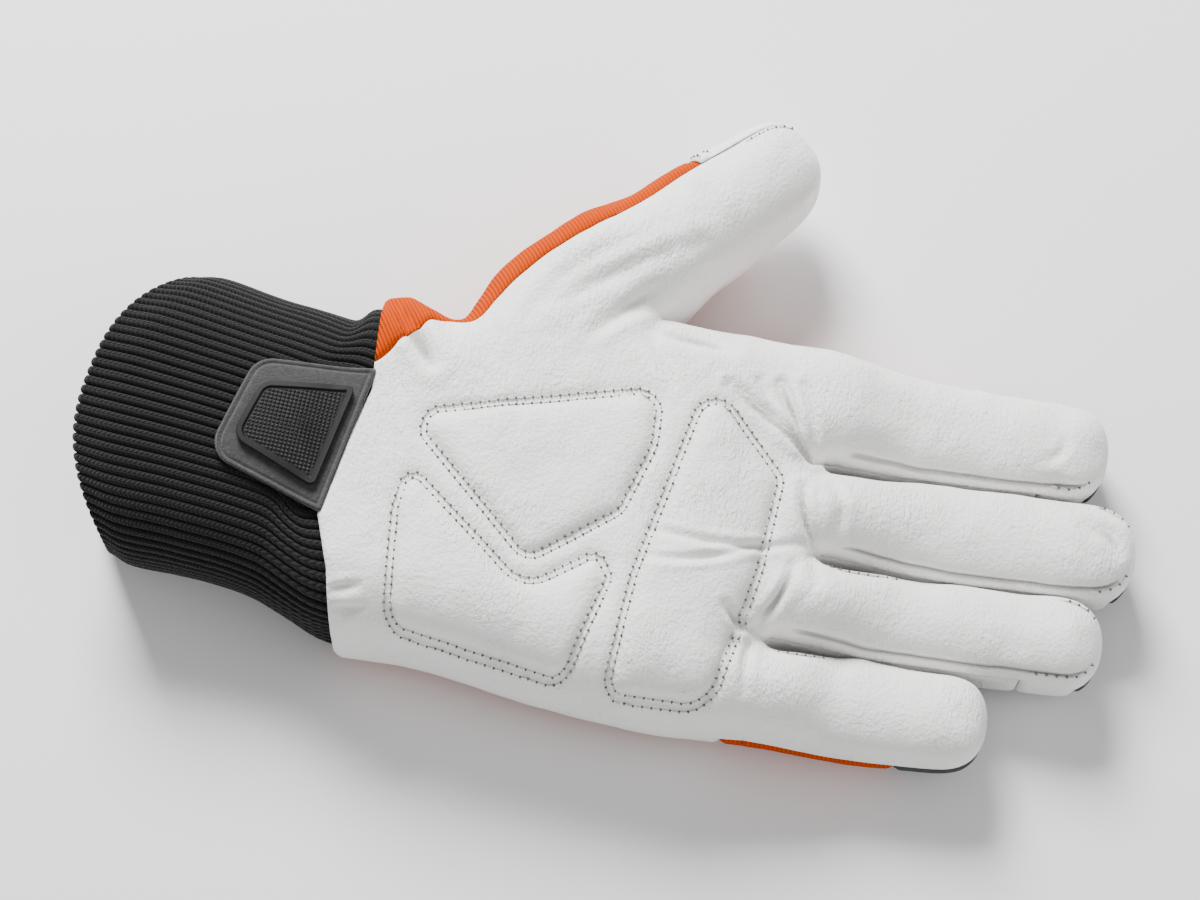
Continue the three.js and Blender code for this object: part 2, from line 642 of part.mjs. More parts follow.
function cuffPoint(way, n) {
  const tuck = LEATHER + SEAM_GAP;
  const hemPoint = loop[n];
  const radius = hemPoint.clone().sub(loopMiddle).setX(0);
  const shrink = 1 - tuck / Math.min(Math.abs(radius.length()), PALM_THICKNESS / 2);
  const tucked = loopMiddle.clone().setX(hemPoint.x).addScaledVector(radius, shrink);
  tucked.z = clamp(tucked.z, tuck, Infinity);
  if (way <= 0) return tucked.setX(hemPoint.x - way * CUFF_LENGTH);
  const column = (name) => along(CUFF, "way", name, way);
  const angle = Math.atan2(radius.z / CUFF_HEIGHT, radius.y / CUFF_WIDTH);
  const power = 2 / CUFF_ROUNDNESS;
  const round = (value) => Math.sign(value) * Math.abs(value) ** power;
  const aside = column("side") * CUFF_WIDTH + round(Math.cos(angle)) * column("width") * CUFF_WIDTH / 2;
  const middleHeight = (column("top") + column("bottom")) / 2 * CUFF_HEIGHT;
  const half = (column("top") - column("bottom")) / 2 * CUFF_HEIGHT;
  const out = way + column("swell") * (1 - Math.cos(angle) ** 2 - 0.5) * (way > 0.5 ? 1 : way * 2);
  const free = loopMiddle.clone().addScaledVector(cuffAxis, out * CUFF_LENGTH)
    .addScaledVector(cuffAside, aside).setZ(middleHeight + half * round(Math.sin(angle)));
  free.z = Math.max(free.z, 0);
  return tucked.addScaledVector(cuffAxis, way * CUFF_LENGTH).lerp(free, smooth(0, CUFF_SETTLE, way));
}

function buildCuff() {
  const cuff = new Surface();
  const lap = CUFF_LAP / CUFF_LENGTH;
  const rows = [-lap, 0, ...evenly(CUFF_ROWS - 1).slice(1)];
  for (let r = 0; r < rows.length - 1; r += 1) {
    for (let n = 0; n < loop.length; n += 1) {
      const next = (n + 1) % loop.length;
      cuff.quad([cuffPoint(rows[r], n), cuffPoint(rows[r], next),
        cuffPoint(rows[r + 1], next), cuffPoint(rows[r + 1], n)], "cuff");
    }
  }
  return wall(cuff.points, outwardDirections(cuff.points, cuff.faces), cuff.faces, KNIT, 0);
}

// The front hem's place along X at a place across
function hemAt(y) {
  const front = hem.front;
  let n = 1;
  while (n < front.length - 1 && front[n].y < y) n += 1;
  const share = clamp((y - front[n - 1].y) / (front[n].y - front[n - 1].y), 0, 1);
  return lerp(front[n - 1].x, front[n].x, share);
}

// A flat piece laid on another. It follows the hem at its inner end and the tab's outline,
// drawn in by a margin, and its under side keeps a gap to what lies below.
function laidOn(under, margin, thickness) {
  const down = new THREE.Raycaster();
  const layer = new Surface();
  const turn = THREE.MathUtils.degToRad(TAB_TURN);
  const middle = new THREE.Vector2(TAB_HEM * PALM_LENGTH, TAB_SIDE * CUFF_WIDTH);
  const points = TAB_ROWS.map((way) => {
    const left = along(TAB, "way", "left", way) * TAB_WIDTH - margin;
    const right = along(TAB, "way", "right", way) * TAB_WIDTH + margin;
    return evenly(TAB_COLUMNS).map((share) => {
      const aside = lerp(right, left, share);
      const start = middle.x - hemAt(middle.y + aside) + TAB_GAP + margin;
      const out = lerp(start, TAB_LENGTH - margin - aside * TAB_SLANT, way);
      const x = middle.x - out * Math.cos(turn) + aside * Math.sin(turn) * way;
      const y = middle.y + aside * Math.cos(turn) + out * Math.sin(turn);
      down.set(new THREE.Vector3(x, y, 2 * CUFF_HEIGHT), new THREE.Vector3(0, 0, -1));
      const ground = down.intersectObject(under)[0].point.z;
      return new THREE.Vector3(x, y, ground + LAYER_GAP + thickness);
    });
  });
  for (let r = 0; r < points.length - 1; r += 1) {
    for (let c = 0; c < TAB_COLUMNS; c += 1) {
      const corners = [points[r][c], points[r][c + 1], points[r + 1][c + 1], points[r + 1][c]];
      layer.quad(corners, "layer");
    }
  }
  return wall(layer.points, outwardDirections(layer.points, layer.faces), layer.faces, thickness, 0);
}

const materials = {
  leather: new THREE.MeshStandardMaterial({ color: 0xececec, roughness: 0.55, metalness: 0 }),
  orange: new THREE.MeshStandardMaterial({ color: 0xff6a14, roughness: 0.8, metalness: 0 }),
  knit: new THREE.MeshStandardMaterial({ color: 0x2c2c2c, roughness: 0.95, metalness: 0 }),
  patch: new THREE.MeshStandardMaterial({ color: 0x45484a, roughness: 0.85, metalness: 0 }),
  suede: new THREE.MeshStandardMaterial({ color: 0x626262, roughness: 0.9, metalness: 0 }),
  rubber: new THREE.MeshStandardMaterial({ color: 0x303030, roughness: 0.6, metalness: 0 }),
};

function pieceMesh(name, geometry, material) {
  const mesh = new THREE.Mesh(geometry, material.clone());
  mesh.name = name;
  return mesh;
}

const glove = new THREE.Group();
const handPieces = {
  palm: [LEATHER, materials.leather],
  back: [FABRIC, materials.orange],
  thumb_cap: [LEATHER, materials.leather],
};
for (const finger of FINGERS) handPieces[`fingertip_patch_${finger.name}`] = [FABRIC, materials.patch];
for (const strip of STRIP_NAMES) handPieces[`fourchette_${strip}`] = [LEATHER, materials.leather];
for (const [name, [thickness, material]] of Object.entries(handPieces)) {
  const faces = surface.faces.filter((face) => face.piece === name);
  glove.add(pieceMesh(name, wall(surface.points, handNormals, faces, thickness, SEAM_GAP), material));
}
const cuff = pieceMesh("cuff", buildCuff(), materials.knit);
const tab = pieceMesh("wrist_tab", laidOn(cuff, 0, TAB_THICKNESS), materials.suede);
const badge = pieceMesh("badge", laidOn(tab, BADGE_MARGIN, BADGE_THICKNESS), materials.rubber);
glove.add(cuff, tab, badge);

export default glove;
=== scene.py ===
"""A left work glove lying palm up: leather palm, fabric back, knitted cuff, tab and badge.

Run as a script. Lengths in the tables and properties are millimetres; meshes are metres.
+X runs to the fingertips, +Y to the thumb and +Z up out of the palm.
"""

import bpy
import numpy as np
from bpy.props import FloatProperty, FloatVectorProperty, PointerProperty
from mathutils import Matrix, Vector


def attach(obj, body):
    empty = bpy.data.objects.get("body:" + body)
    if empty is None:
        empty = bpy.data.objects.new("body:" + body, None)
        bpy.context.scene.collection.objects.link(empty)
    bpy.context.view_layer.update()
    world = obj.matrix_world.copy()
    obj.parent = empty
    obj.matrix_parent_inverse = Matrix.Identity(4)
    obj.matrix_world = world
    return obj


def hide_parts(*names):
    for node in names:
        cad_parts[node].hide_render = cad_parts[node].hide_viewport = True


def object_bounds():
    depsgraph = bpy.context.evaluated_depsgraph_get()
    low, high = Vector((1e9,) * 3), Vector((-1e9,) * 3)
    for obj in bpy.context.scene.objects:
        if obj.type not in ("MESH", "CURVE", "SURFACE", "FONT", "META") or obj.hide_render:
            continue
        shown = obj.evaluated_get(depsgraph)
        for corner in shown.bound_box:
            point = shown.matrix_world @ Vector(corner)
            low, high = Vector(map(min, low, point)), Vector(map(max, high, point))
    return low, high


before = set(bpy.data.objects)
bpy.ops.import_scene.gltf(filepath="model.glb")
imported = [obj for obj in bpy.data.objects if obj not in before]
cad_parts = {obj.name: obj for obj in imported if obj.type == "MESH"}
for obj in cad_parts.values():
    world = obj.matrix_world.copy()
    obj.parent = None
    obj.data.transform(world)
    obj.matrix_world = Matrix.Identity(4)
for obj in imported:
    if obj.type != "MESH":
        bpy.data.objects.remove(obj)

CAD_BOX = [list(corner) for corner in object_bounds()]

bl_info = {
    "name": "Work glove",
    "version": (1, 0, 0),
    "blender": (4, 5, 0),
    "location": "View3D > Sidebar > Glove",
    "description": "Builds a padded leather work glove with a ribbed knit cuff",
    "category": "Add Mesh",
}

MM = 0.001
BODY = "root"

# Driving sizes of the hand, as the frame has them
PALM_LENGTH = 112.0
PALM_WIDTH = 108.5
PALM_THICKNESS = 43.0
FINGER_THICKNESS = 26.0
THUMB_THICKNESS = 32.0
THUMB_LENGTH = 67.0
THUMB_WIDTH = 33.0
FINGER_WIDTH = 27.0
FINGER_GAP = 3.0
CROTCH_LENGTH = 6.0
KNUCKLES = 4.02
LEATHER = 1.2
FABRIC = 1.2
KNIT = 2.8
SEAM_GAP = 0.36
CUFF_LENGTH = 64.0
CUFF_WIDTH = 82.0
CUFF_HEIGHT = 49.0
CUFF_LAP = 7.0
CUFF_TURN = 11.0
TAB_THICKNESS = 1.5
TAB_TURN = 5.0
LAYER_GAP = 0.45
BADGE_THICKNESS = 1.6

# Lines from the hem to the finger crotches, as shares of the palm's length and width
RAY_HEM = np.array([[-0.57, -0.395], [-0.588, -0.262], [-0.626, -0.13], [-0.592, 0.05],
                    [-0.545, 0.2]])
RAY_CROTCH = np.array([[0.411, -0.498], [0.438, -0.272], [0.54, -0.051], [0.531, 0.189],
                       [0.509, 0.502]])
THUMB_CROTCH = np.array([0.12, 0.516])
THUMB_SHARE = 0.55
LITTLE_EDGE = {"way": [0, 0.2, 0.45, 0.7, 1], "x": [-0.57, -0.385, -0.089, 0.161, 0.411],
               "y": [-0.395, -0.4, -0.461, -0.497, -0.498]}
THUMB_EDGE = {"way": [0, 0.18, 0.36, 0.49, 0.6, 0.76, 0.87, 1],
              "x": [-0.554, -0.495, -0.429, -0.371, -0.339, -0.304, -0.25, -0.143],
              "y": [0.488, 0.498, 0.472, 0.463, 0.521, 0.59, 0.654, 0.747]}

# Levels of the hand as shares of its thickness: front, where its side begins and ends, back
PALM_LEVELS = {"at": [-0.62, -0.36, 0, 0.27, 0.45], "front": [1.07, 1.07, 1, 0.95, 0.84],
               "front_seam": [0.62, 0.6, 0.57, 0.55, 0.5],
               "back_seam": [0.32, 0.3, 0.3, 0.28, 0.24], "back": [0, 0, 0, 0, 0]}
FINGER_LEVELS = {"at": [0, 0.22, 0.55, 1], "front": [1.3, 1.14, 1.04, 1.06],
                 "front_seam": [0.78, 0.7, 0.68, 0.72], "back_seam": [0.36, 0.33, 0.33, 0.42],
                 "back": [0, 0, 0, 0.06]}
THUMB_LEVELS = {"at": [0, 0.45, 1], "front": [1.45, 1.32, 1.25], "front_seam": [0.88, 0.88, 0.88],
                "back_seam": [0.56, 0.6, 0.66], "back": [0.04, 0.2, 0.36]}
LEVELS = ("front", "front_seam", "back_seam", "back")

# Where the orange seam lies across the thumb side, and how far the leather covers the side
BALL_SEAM = {"way": [0, 0.18, 0.36, 0.6, 1], "across": [-0.5, 0, 0.42, 0.5, 0.56]}
THUMB_SEAM = {"way": [0, 0.5, 1], "across": [0.56, 0.68, 0.72]}
LITTLE_SIDE_SEAM = {"way": [0, 0.5, 0.75, 1], "down": [0.92, 0.9, 0.72, 0.5]}
FINGER_SIDE_SEAM = {"way": [0, 0.5, 0.75, 0.9, 1], "down": [0.5, 0.5, 0.92, 0.85, 0.5]}
THUMB_SIDE_SEAM = {"way": [0, 0.2, 0.8, 1], "down": [0.5, 0.86, 0.86, 0.5]}

# Where the palm leather reaches round under the edge towards the little finger: up to shares
# of the palm's edge, of a finger and of the thumb, over a few columns
WRAP_END = 0.8875
FINGER_WRAP_END = 0.94
THUMB_WRAP_END = 0.92
WRAP_COLUMNS = 8
THUMB_WRAP_COLUMNS = 12
STRIP_WRAP_COLUMNS = 4
STRIP_WRAP_START = 0.5

# Shares of a finger where its patch starts and its side strip ends, and where the thumb's
# cap starts
PATCH_START = 0.643
STRIP_END = 0.766
THUMB_CAP = 0.556
SECTION_ROUNDNESS = 2.2

# The cuff from the hem outwards
CUFF = {"way": [0, 0.12, 0.3, 0.6, 0.85, 1], "side": [-0.01, 0, 0.006, 0.004, 0, 0],
        "width": [1.1, 1, 0.97, 0.98, 1, 0.96], "bottom": [0.02, 0.02, 0.01, 0, 0, 0.02],
        "top": [0.9, 0.93, 0.96, 0.99, 1, 0.97], "swell": [0, 0, 0.01, 0.08, 0.18, 0.24]}
CUFF_ROUNDNESS = 2.5
CUFF_STEPS = 8  # points round one rib

# Details that only the looks have, in millimetres: the gap between a pad's two rows of stitches,
# how far the outer sides swell, the height of the thumb cap's turned hem, the seams' distance
# from a finger's edge with their depth and width, and the length of the painted shade in a needle
# hole
ROW_GAP = 1.7
SIDE_BULGE = 0.9
HEM_FOLD = 0.8
SEAM_INSET = 1.7
SEAM_DEPTH = 0.6
SEAM_WIDTH = 0.5
HOLE_LENGTH = 0.85

# How strongly shade is painted on the leather, from 0 to 1: in the stitched grooves and in folds 2
# mm deep
ROW_SHADE = 0.34
FOLD_SHADE = 0.8

# Outlines of the tab and of the badge on it, in millimetres: corners with the radius that
# rounds each, from the thumb's side of the hem round the open end
TAB_OUTLINE = [(-60.2, 27.3, 0.6), (-91.6, 26.2, 7), (-100.6, -2.2, 7), (-69.2, -13.9, 0.6)]
BADGE_OUTLINE = [(-64.6, 21.2, 1.6), (-89.0, 18.8, 4.5), (-94.6, 2.5, 4.5), (-71.6, -8.0, 1.6)]

# Quilted pads of the palm, in millimetres: corners with the radius that rounds each
PADS = {
    "ball": [(-46.9, 10.7, 6), (-45.7, 18.3, 6), (15.9, 32.9, 7), (15.8, 15.6, 20),
             (8.8, -4, 8), (-14.8, -21, 6)],
    "heel": [(-48.5, 3.2, 4), (-51, -10, 14), (-49.6, -40.6, 7), (-1.0, -50.3, 6), (8, -22, 4),
             (4, -14, 4), (-14.5, -26.5, 8)],
    "knuckle": [(8.3, -52, 5), (12.5, -20, 30), (27.2, 38.2, 6.5), (50, 13, 7), (46.5, -14, 25),
                (37, -52.5, 10)],
}


def shares(count):
    """Equal steps from 0 to 1."""
    return np.linspace(0.0, 1.0, count + 1)


def smooth(low, high, value):
    """The cubic 3tt - 2ttt of the share t of the way from low to high."""
    t = np.clip((value - low) / (high - low), 0.0, 1.0)
    return t * t * (3 - 2 * t)


def mix(a, b, t):
    """a at t = 0 and b at t = 1."""
    return a + (b - a) * t


def along(table, key, column, value):
    """A cubic Hermite curve through a table's column, with central slopes and flat ends."""
    x = np.asarray(table[key], float)
    y = np.asarray(table[column], float)
    slope = np.zeros(len(x))
    slope[1:-1] = (y[2:] - y[:-2]) / (x[2:] - x[:-2])
    at = np.clip(value, x[0], x[-1])
    i = np.clip(np.searchsorted(x, at, side="right") - 1, 0, len(x) - 2)
    step = x[i + 1] - x[i]
    t = (at - x[i]) / step
    return (y[i] * (1 + 2 * t) * (1 - t) ** 2 + slope[i] * step * t * (1 - t) ** 2
            + y[i + 1] * t * t * (3 - 2 * t) - slope[i + 1] * step * t * t * (1 - t))


def tip_share(way, roundness):
    """The superellipse (1 - way^p)^(1/p), 1 where way is 0 and 0 where it is 1."""
    return (1 - np.clip(way, 0, 1) ** roundness) ** (1 / roundness)


def unit(vectors):
    """Each vector divided by its length."""
    length = np.linalg.norm(vectors, axis=-1, keepdims=True)
    return vectors / np.maximum(length, 1e-12)


def lattice_noise(points, size, seed):
    """Smooth noise from -1 to 1: hashed values on a cubic lattice, blended by cubic weights."""
    scaled = points / size
    cell = np.floor(scaled).astype(np.int64)
    t = scaled - cell
    t = t * t * (3 - 2 * t)
    total = np.zeros(len(points))
    for corner in range(8):
        offset = np.array([corner & 1, corner >> 1 & 1, corner >> 2 & 1])
        key = (cell + offset) @ np.array([73856093, 19349663, 83492791]) + seed * 9973
        key = (key ^ (key >> 13)) * 1274126177 & 0x7FFFFFFF
        value = (key ^ (key >> 16)) % 65536 / 32767.5 - 1
        total += value * np.prod(np.where(offset == 1, t, 1 - t), axis=1)
    return total


def palm_point(x, y, way):
    """Shares of length and width to millimetres; the width turns into the knuckles' on the way."""
    width = mix(PALM_WIDTH, KNUCKLES * FINGER_WIDTH, np.asarray(way, float))
    return np.stack([x * PALM_LENGTH + 0 * width, y * width], axis=-1)


def edge_point(table, way, span):
    """A point of a palm edge given as a table."""
    return palm_point(along(table, "way", "x", way), along(table, "way", "y", way), way * span)


CROTCHES = palm_point(RAY_CROTCH[:, 0], RAY_CROTCH[:, 1], 1)
THUMB_CROTCH_POINT = palm_point(THUMB_CROTCH[0], THUMB_CROTCH[1], THUMB_SHARE)
THUMB_ROOT = edge_point(THUMB_EDGE, np.array(1.0), THUMB_SHARE)


def ray_point(ray, way):
    """One of the five lines up the palm: straight from hem to crotch, the last by the thumb."""
    way = np.asarray(way, float)
    if ray == 0:
        return edge_point(LITTLE_EDGE, way, 1)
    hem = palm_point(RAY_HEM[ray, 0], RAY_HEM[ray, 1], 0)
    share = way[..., None]
    if ray < 4:
        return mix(hem, CROTCHES[ray], share)
    lower = mix(hem, THUMB_CROTCH_POINT, share / THUMB_SHARE)
    upper = mix(THUMB_CROTCH_POINT, CROTCHES[4], (share - THUMB_SHARE) / (1 - THUMB_SHARE))
    return np.where(share <= THUMB_SHARE, lower, upper)


class Digit:
    """A finger or the thumb: its root line, length, turn and widths."""

    def __init__(self, name, near, far, length, turn, middle, tip, patch, settle=0.45,
                 dome=0.475, roundness=2.35, gaps=(0.0, 0.0)):
        self.name = name
        self.near = near
        self.far = far
        self.length = length
        self.turn = np.radians(turn)
        self.middle = middle
        self.tip = tip
        self.patch = patch
        self.settle = settle
        self.dome = dome * tip
        self.roundness = roundness
        self.gaps = gaps
        self.root = (near + far) / 2
        self.ahead = np.array([np.cos(self.turn), np.sin(self.turn)])
        self.aside = np.array([-self.ahead[1], self.ahead[0]])

    def point(self, way, across):
        """The plan at way along and across from -1 to 1. The half width goes from the root's
        to the middle's by a cubic, on to the tip's, and closes as a superellipse."""
        way, across = np.broadcast_arrays(np.asarray(way, float), np.asarray(across, float))
        start = (mix(self.near, self.far, (across[..., None] + 1) / 2) - self.root) @ self.ahead
        far = start + (self.length - start) * way
        near_side = across < 0
        edges = [(edge - self.root) for edge in (self.near, self.far)]
        root_width = np.where(near_side, *[abs(edge @ self.aside) for edge in edges])
        edge_start = np.where(near_side, *[edge @ self.ahead for edge in edges])
        passed = np.maximum(far - edge_start, 0)
        gap = np.where(near_side, *self.gaps) * tip_share(1 - passed / CROTCH_LENGTH, 2)
        half = mix(root_width - gap, self.middle / 2, smooth(0, self.settle, passed / self.length))
        half = half + (self.tip - self.middle) / 2 * smooth(0.4, 0.9, far / self.length)
        half = half * tip_share((far - self.length + self.dome) / self.dome, self.roundness)
        return self.root + far[..., None] * self.ahead + (half * across)[..., None] * self.aside


HALF_GAP = FINGER_GAP / 2
DIGITS = [
    Digit("little", CROTCHES[0], CROTCHES[1], 62.0, -2.0, 0.94 * FINGER_WIDTH,
          0.9 * FINGER_WIDTH, 0.6, gaps=(0, HALF_GAP)),
    Digit("ring", CROTCHES[1], CROTCHES[2], 83.5, -1.4, 0.89 * FINGER_WIDTH,
          0.88 * FINGER_WIDTH, 0.68, gaps=(HALF_GAP, HALF_GAP)),
    Digit("middle", CROTCHES[2], CROTCHES[3], 86.0, -0.5, 1.0 * FINGER_WIDTH,
          0.99 * FINGER_WIDTH, 0.68, gaps=(HALF_GAP, HALF_GAP)),
    Digit("index", CROTCHES[3], CROTCHES[4], 79.0, -2.5, 1.04 * FINGER_WIDTH,
          0.98 * FINGER_WIDTH, 0.68, gaps=(HALF_GAP, 0)),
    Digit("thumb", THUMB_CROTCH_POINT, THUMB_ROOT, THUMB_LENGTH, 42.2, THUMB_WIDTH,
          0.86 * THUMB_WIDTH, THUMB_CAP, settle=0.35, dome=0.575, roundness=2.2),
]
THUMB = DIGITS[4]
STRIP_NAMES = ("little_ring", "ring_middle", "middle_index")


def outline():
    """The plan's outline as a fine line of points, from the hem round to the hem."""
    fine = shares(60)
    tipward = np.sin(fine * np.pi / 2)
    parts = [ray_point(0, fine)]
    for digit in DIGITS[:4]:
        parts += [digit.point(tipward, -1.0), digit.point(tipward[::-1], 1.0)]
    parts.append(ray_point(4, np.linspace(1, THUMB_SHARE, 12)))
    parts += [THUMB.point(tipward, -1.0), THUMB.point(tipward[::-1], 1.0)]
    parts.append(edge_point(THUMB_EDGE, fine[::-1], THUMB_SHARE))
    return np.concatenate(parts)


def distance_to_line(points, line, closed=False):
    """Each point's distance to the nearest of a line's straight pieces, and that piece."""
    if closed:
        line = np.vstack([line, line[:1]])
    start = line[:-1]
    side = line[1:] - start
    length = (side ** 2).sum(1)
    keep = length > 1e-9
    start, side, length = start[keep], side[keep], length[keep]
    best = np.empty(len(points))
    piece = np.empty(len(points), int)
    for low in range(0, len(points), 3000):
        offset = points[low:low + 3000, None] - start
        t = np.clip((offset * side).sum(2) / length, 0, 1)
        gap = ((offset - t[..., None] * side) ** 2).sum(2)
        piece[low:low + 3000] = gap.argmin(1)
        best[low:low + 3000] = np.sqrt(gap.min(1))
    return best, piece


OUTLINE = outline()


def rounded(corners, step=1.5):
    """A closed line of straight sides and corners rounded by arcs of their radii, which turn
    from one side's direction to the next at an even rate."""
    points = []
    count = len(corners)
    for n in range(count):
        corner = np.array(corners[n][:2], float)
        before = unit(np.array(corners[n - 1][:2]) - corner)
        after = unit(np.array(corners[(n + 1) % count][:2]) - corner)
        half = np.arccos(np.clip(before @ after, -1, 1)) / 2
        radius = corners[n][2]
        reach = min(radius / np.tan(half),
                    0.49 * np.linalg.norm(np.array(corners[n - 1][:2]) - corner),
                    0.49 * np.linalg.norm(np.array(corners[(n + 1) % count][:2]) - corner))
        centre = corner + unit(before + after) * reach / np.cos(half)
        start, end = corner + before * reach - centre, corner + after * reach - centre
        t, turn = shares(12)[:, None], max(np.pi - 2 * half, 1e-3)
        points.append(centre + (np.sin((1 - t) * turn) * start + np.sin(t * turn) * end)
                      / np.sin(turn))
    line = np.concatenate(points)
    return resample(line, step, closed=True)


def resample(line, step, closed=False):
    """Points at equal steps along a line, as near to the step as fits a whole number."""
    if closed:
        line = np.vstack([line, line[:1]])
    length = np.concatenate([[0], np.cumsum(np.linalg.norm(np.diff(line, axis=0), axis=1))])
    count = max(int(round(length[-1] / step)), 2)
    at = np.linspace(0, length[-1], count + 1)
    if closed:
        at = at[:-1]
    return np.stack([np.interp(at, length, line[:, k]) for k in range(line.shape[1])], axis=1)


def inside(points, line):
    """Whether each point is inside a closed line, by counting crossings."""
    after = np.roll(line, -1, axis=0)
    found = np.zeros(len(points), bool)
    for (ax, ay), (bx, by) in zip(line, after):
        crosses = (ay > points[:, 1]) != (by > points[:, 1])
        at = ax + (points[:, 1] - ay) * (bx - ax) / (by - ay if by != ay else 1)
        found ^= crosses & (points[:, 0] < at)
    return found


# How finely the hand is divided
STRIP_COLUMNS = 36
SEAM_COLUMNS = 16
SIDE_ROWS = 6
PALM_WAYS = np.concatenate([shares(78) * THUMB_SHARE,
                            THUMB_SHARE + shares(62)[1:] * (1 - THUMB_SHARE)])


def towards_tip(count, exact):
    """Rows of a digit, crowded towards its tip as a sine, the nearest ones moved to exact."""
    ways = np.sin(shares(count) * np.pi / 2)
    for value in exact:
        ways[np.abs(ways - value).argmin()] = value
    return ways


FINGER_WAYS = towards_tip(100, (PATCH_START, STRIP_END))
THUMB_WAYS = towards_tip(84, (THUMB_CAP,))

PIECES = ["palm", "back", "thumb_cap"]
PIECES += [f"fingertip_patch_{digit.name}" for digit in DIGITS[:4]]
PIECES += [f"fourchette_{name}" for name in STRIP_NAMES]
LABEL = {name: n for n, name in enumerate(PIECES)}


def levels(point, digit, way):
    """The four levels at places of the plan: the palm's, the thumb's and a finger's levels,
    blended by cubics of how far the place has left the palm."""
    x = point[..., 0] / PALM_LENGTH
    to_thumb = smooth(0.42, 0.68, point[..., 1] / PALM_WIDTH) if digit >= 3 else np.zeros_like(x)
    up_thumb = np.clip(np.linalg.norm(point - THUMB.root, axis=-1) / THUMB_LENGTH, 0, 1)
    to_finger = smooth(0, 0.35, way) if digit < 4 else np.zeros_like(x)
    found = {}
    for name in LEVELS:
        palm = PALM_THICKNESS * along(PALM_LEVELS, "at", name, x)
        thumb = THUMB_THICKNESS * along(THUMB_LEVELS, "at", name, up_thumb)
        finger = FINGER_THICKNESS * along(FINGER_LEVELS, "at", name, way)
        found[name] = mix(mix(palm, thumb, to_thumb), finger, to_finger)
    hand_round = mix(0.19 * PALM_WIDTH, FINGER_WIDTH / 2, smooth(0.2, 0.56, x))
    found["round"] = mix(hand_round, THUMB_WIDTH / 2, to_thumb)
    return found


def lifted(point, digit, way):
    """The front and back points over the plan: each rises from its seam level to its full level
    as a superellipse of the distance from the outline."""
    level = levels(point, digit, way)
    distance, _ = distance_to_line(point.reshape(-1, 2), OUTLINE)
    share = np.clip(distance.reshape(way.shape) / level["round"], 0, 1)
    rise = tip_share(1 - share, SECTION_ROUNDNESS)
    front = mix(level["front_seam"], level["front"], rise)
    back = mix(level["back_seam"], level["back"], rise)
    return (np.concatenate([point, front[..., None]], axis=-1),
            np.concatenate([point, back[..., None]], axis=-1))


def strip_columns(near, far):
    """Places across from -1 to 1 for each row: even ones, moved to quarter sines that crowd
    them at the near and far edge by the shares near and far."""
    s = shares(STRIP_COLUMNS)
    near, far = near[:, None], far[:, None]
    t = (1 - near) * (1 - far) * s + near * (1 - far) * (1 - np.cos(s * np.pi / 2))
    t = t + (1 - near) * far * np.sin(s * np.pi / 2) + near * far * (1 - np.cos(s * np.pi)) / 2
    return 2 * t - 1


def strip_grid(n):
    """One finger with its strip of the palm as a grid: plan points, finger way, palm way."""
    free = smooth(0.8, 1, PALM_WAYS)
    near = np.ones_like(free) if n == 0 else free
    far = smooth(THUMB_SHARE - 0.12, THUMB_SHARE, PALM_WAYS) if n == 3 else free
    share = (strip_columns(near, far)[..., None] + 1) / 2
    palm = mix(ray_point(n, PALM_WAYS)[:, None], ray_point(n + 1, PALM_WAYS)[:, None], share)
    ways = FINGER_WAYS[1:]
    ones = np.ones_like(ways)
    finger = DIGITS[n].point(ways[:, None], strip_columns(ones, ones))
    way = np.concatenate([0 * PALM_WAYS, ways])
    palm_way = np.concatenate([PALM_WAYS, ones])
    return np.concatenate([palm, finger]), way, palm_way


def thumb_columns(seam, near):
    """Places across the thumb: to the seam between leather and fabric, then to the edge."""
    s = shares(STRIP_COLUMNS)
    inner = mix(s[None], 1 - np.cos(s * np.pi / 2)[None], near[:, None])
    outer = np.sin(shares(SEAM_COLUMNS)[1:] * np.pi / 2)[None]
    seam = seam[:, None]
    return np.concatenate([mix(-1, seam, inner), mix(seam, 1, outer)], axis=1)


def thumb_grid():
    """The ball of the thumb and the thumb as a grid like strip_grid's."""
    ball = PALM_WAYS[PALM_WAYS <= THUMB_SHARE + 1e-9]
    share = ball / THUMB_SHARE
    across = thumb_columns(along(BALL_SEAM, "way", "across", share), smooth(0.7, 1, share))
    edge = edge_point(THUMB_EDGE, share, THUMB_SHARE)
    base = mix(ray_point(4, ball)[:, None], edge[:, None], (across[..., None] + 1) / 2)
    ways = THUMB_WAYS[1:]
    across = thumb_columns(along(THUMB_SEAM, "way", "across", ways), np.ones_like(ways))
    thumb = THUMB.point(ways[:, None], across)
    way = np.concatenate([0 * ball, ways])
    return np.concatenate([base, thumb]), way, np.concatenate([ball, 0 * ways + 1])


def side_labels(digit, side, way, upper):
    """The piece on each row of a side wall: upper says whether it is above the side's seam."""
    if digit == 4 and side > 0:
        return np.where(way >= THUMB_CAP, LABEL["thumb_cap"], LABEL["back"])
    under = back_labels(digit, way)
    found = np.full(len(way), LABEL["palm"]) if upper else under
    between = digit - 1 if side < 0 else digit
    if digit < 4 and 0 <= between < 3:
        strip = LABEL[f"fourchette_{STRIP_NAMES[between]}"]
        found = np.where(way < STRIP_END, strip, found)
    return found


def side_bulge(digit, side, way, palm_way):
    """How much a side swells, from 0 to 1: the hand's outer sides and the thumb's do, fading
    towards the tips and the thumb's crotch, and those between fingers stay straight."""
    if (digit, side) not in ((0, -1), (3, 1), (4, -1), (4, 1)):
        return np.zeros(len(way))
    swell = 1 - smooth(0.75, 1.0, way)
    if (digit, side) == (3, 1):
        return swell * smooth(THUMB_SHARE, THUMB_SHARE + 0.15, palm_way)
    return swell * smooth(0.0, 0.2, way) if (digit, side) == (4, -1) else swell


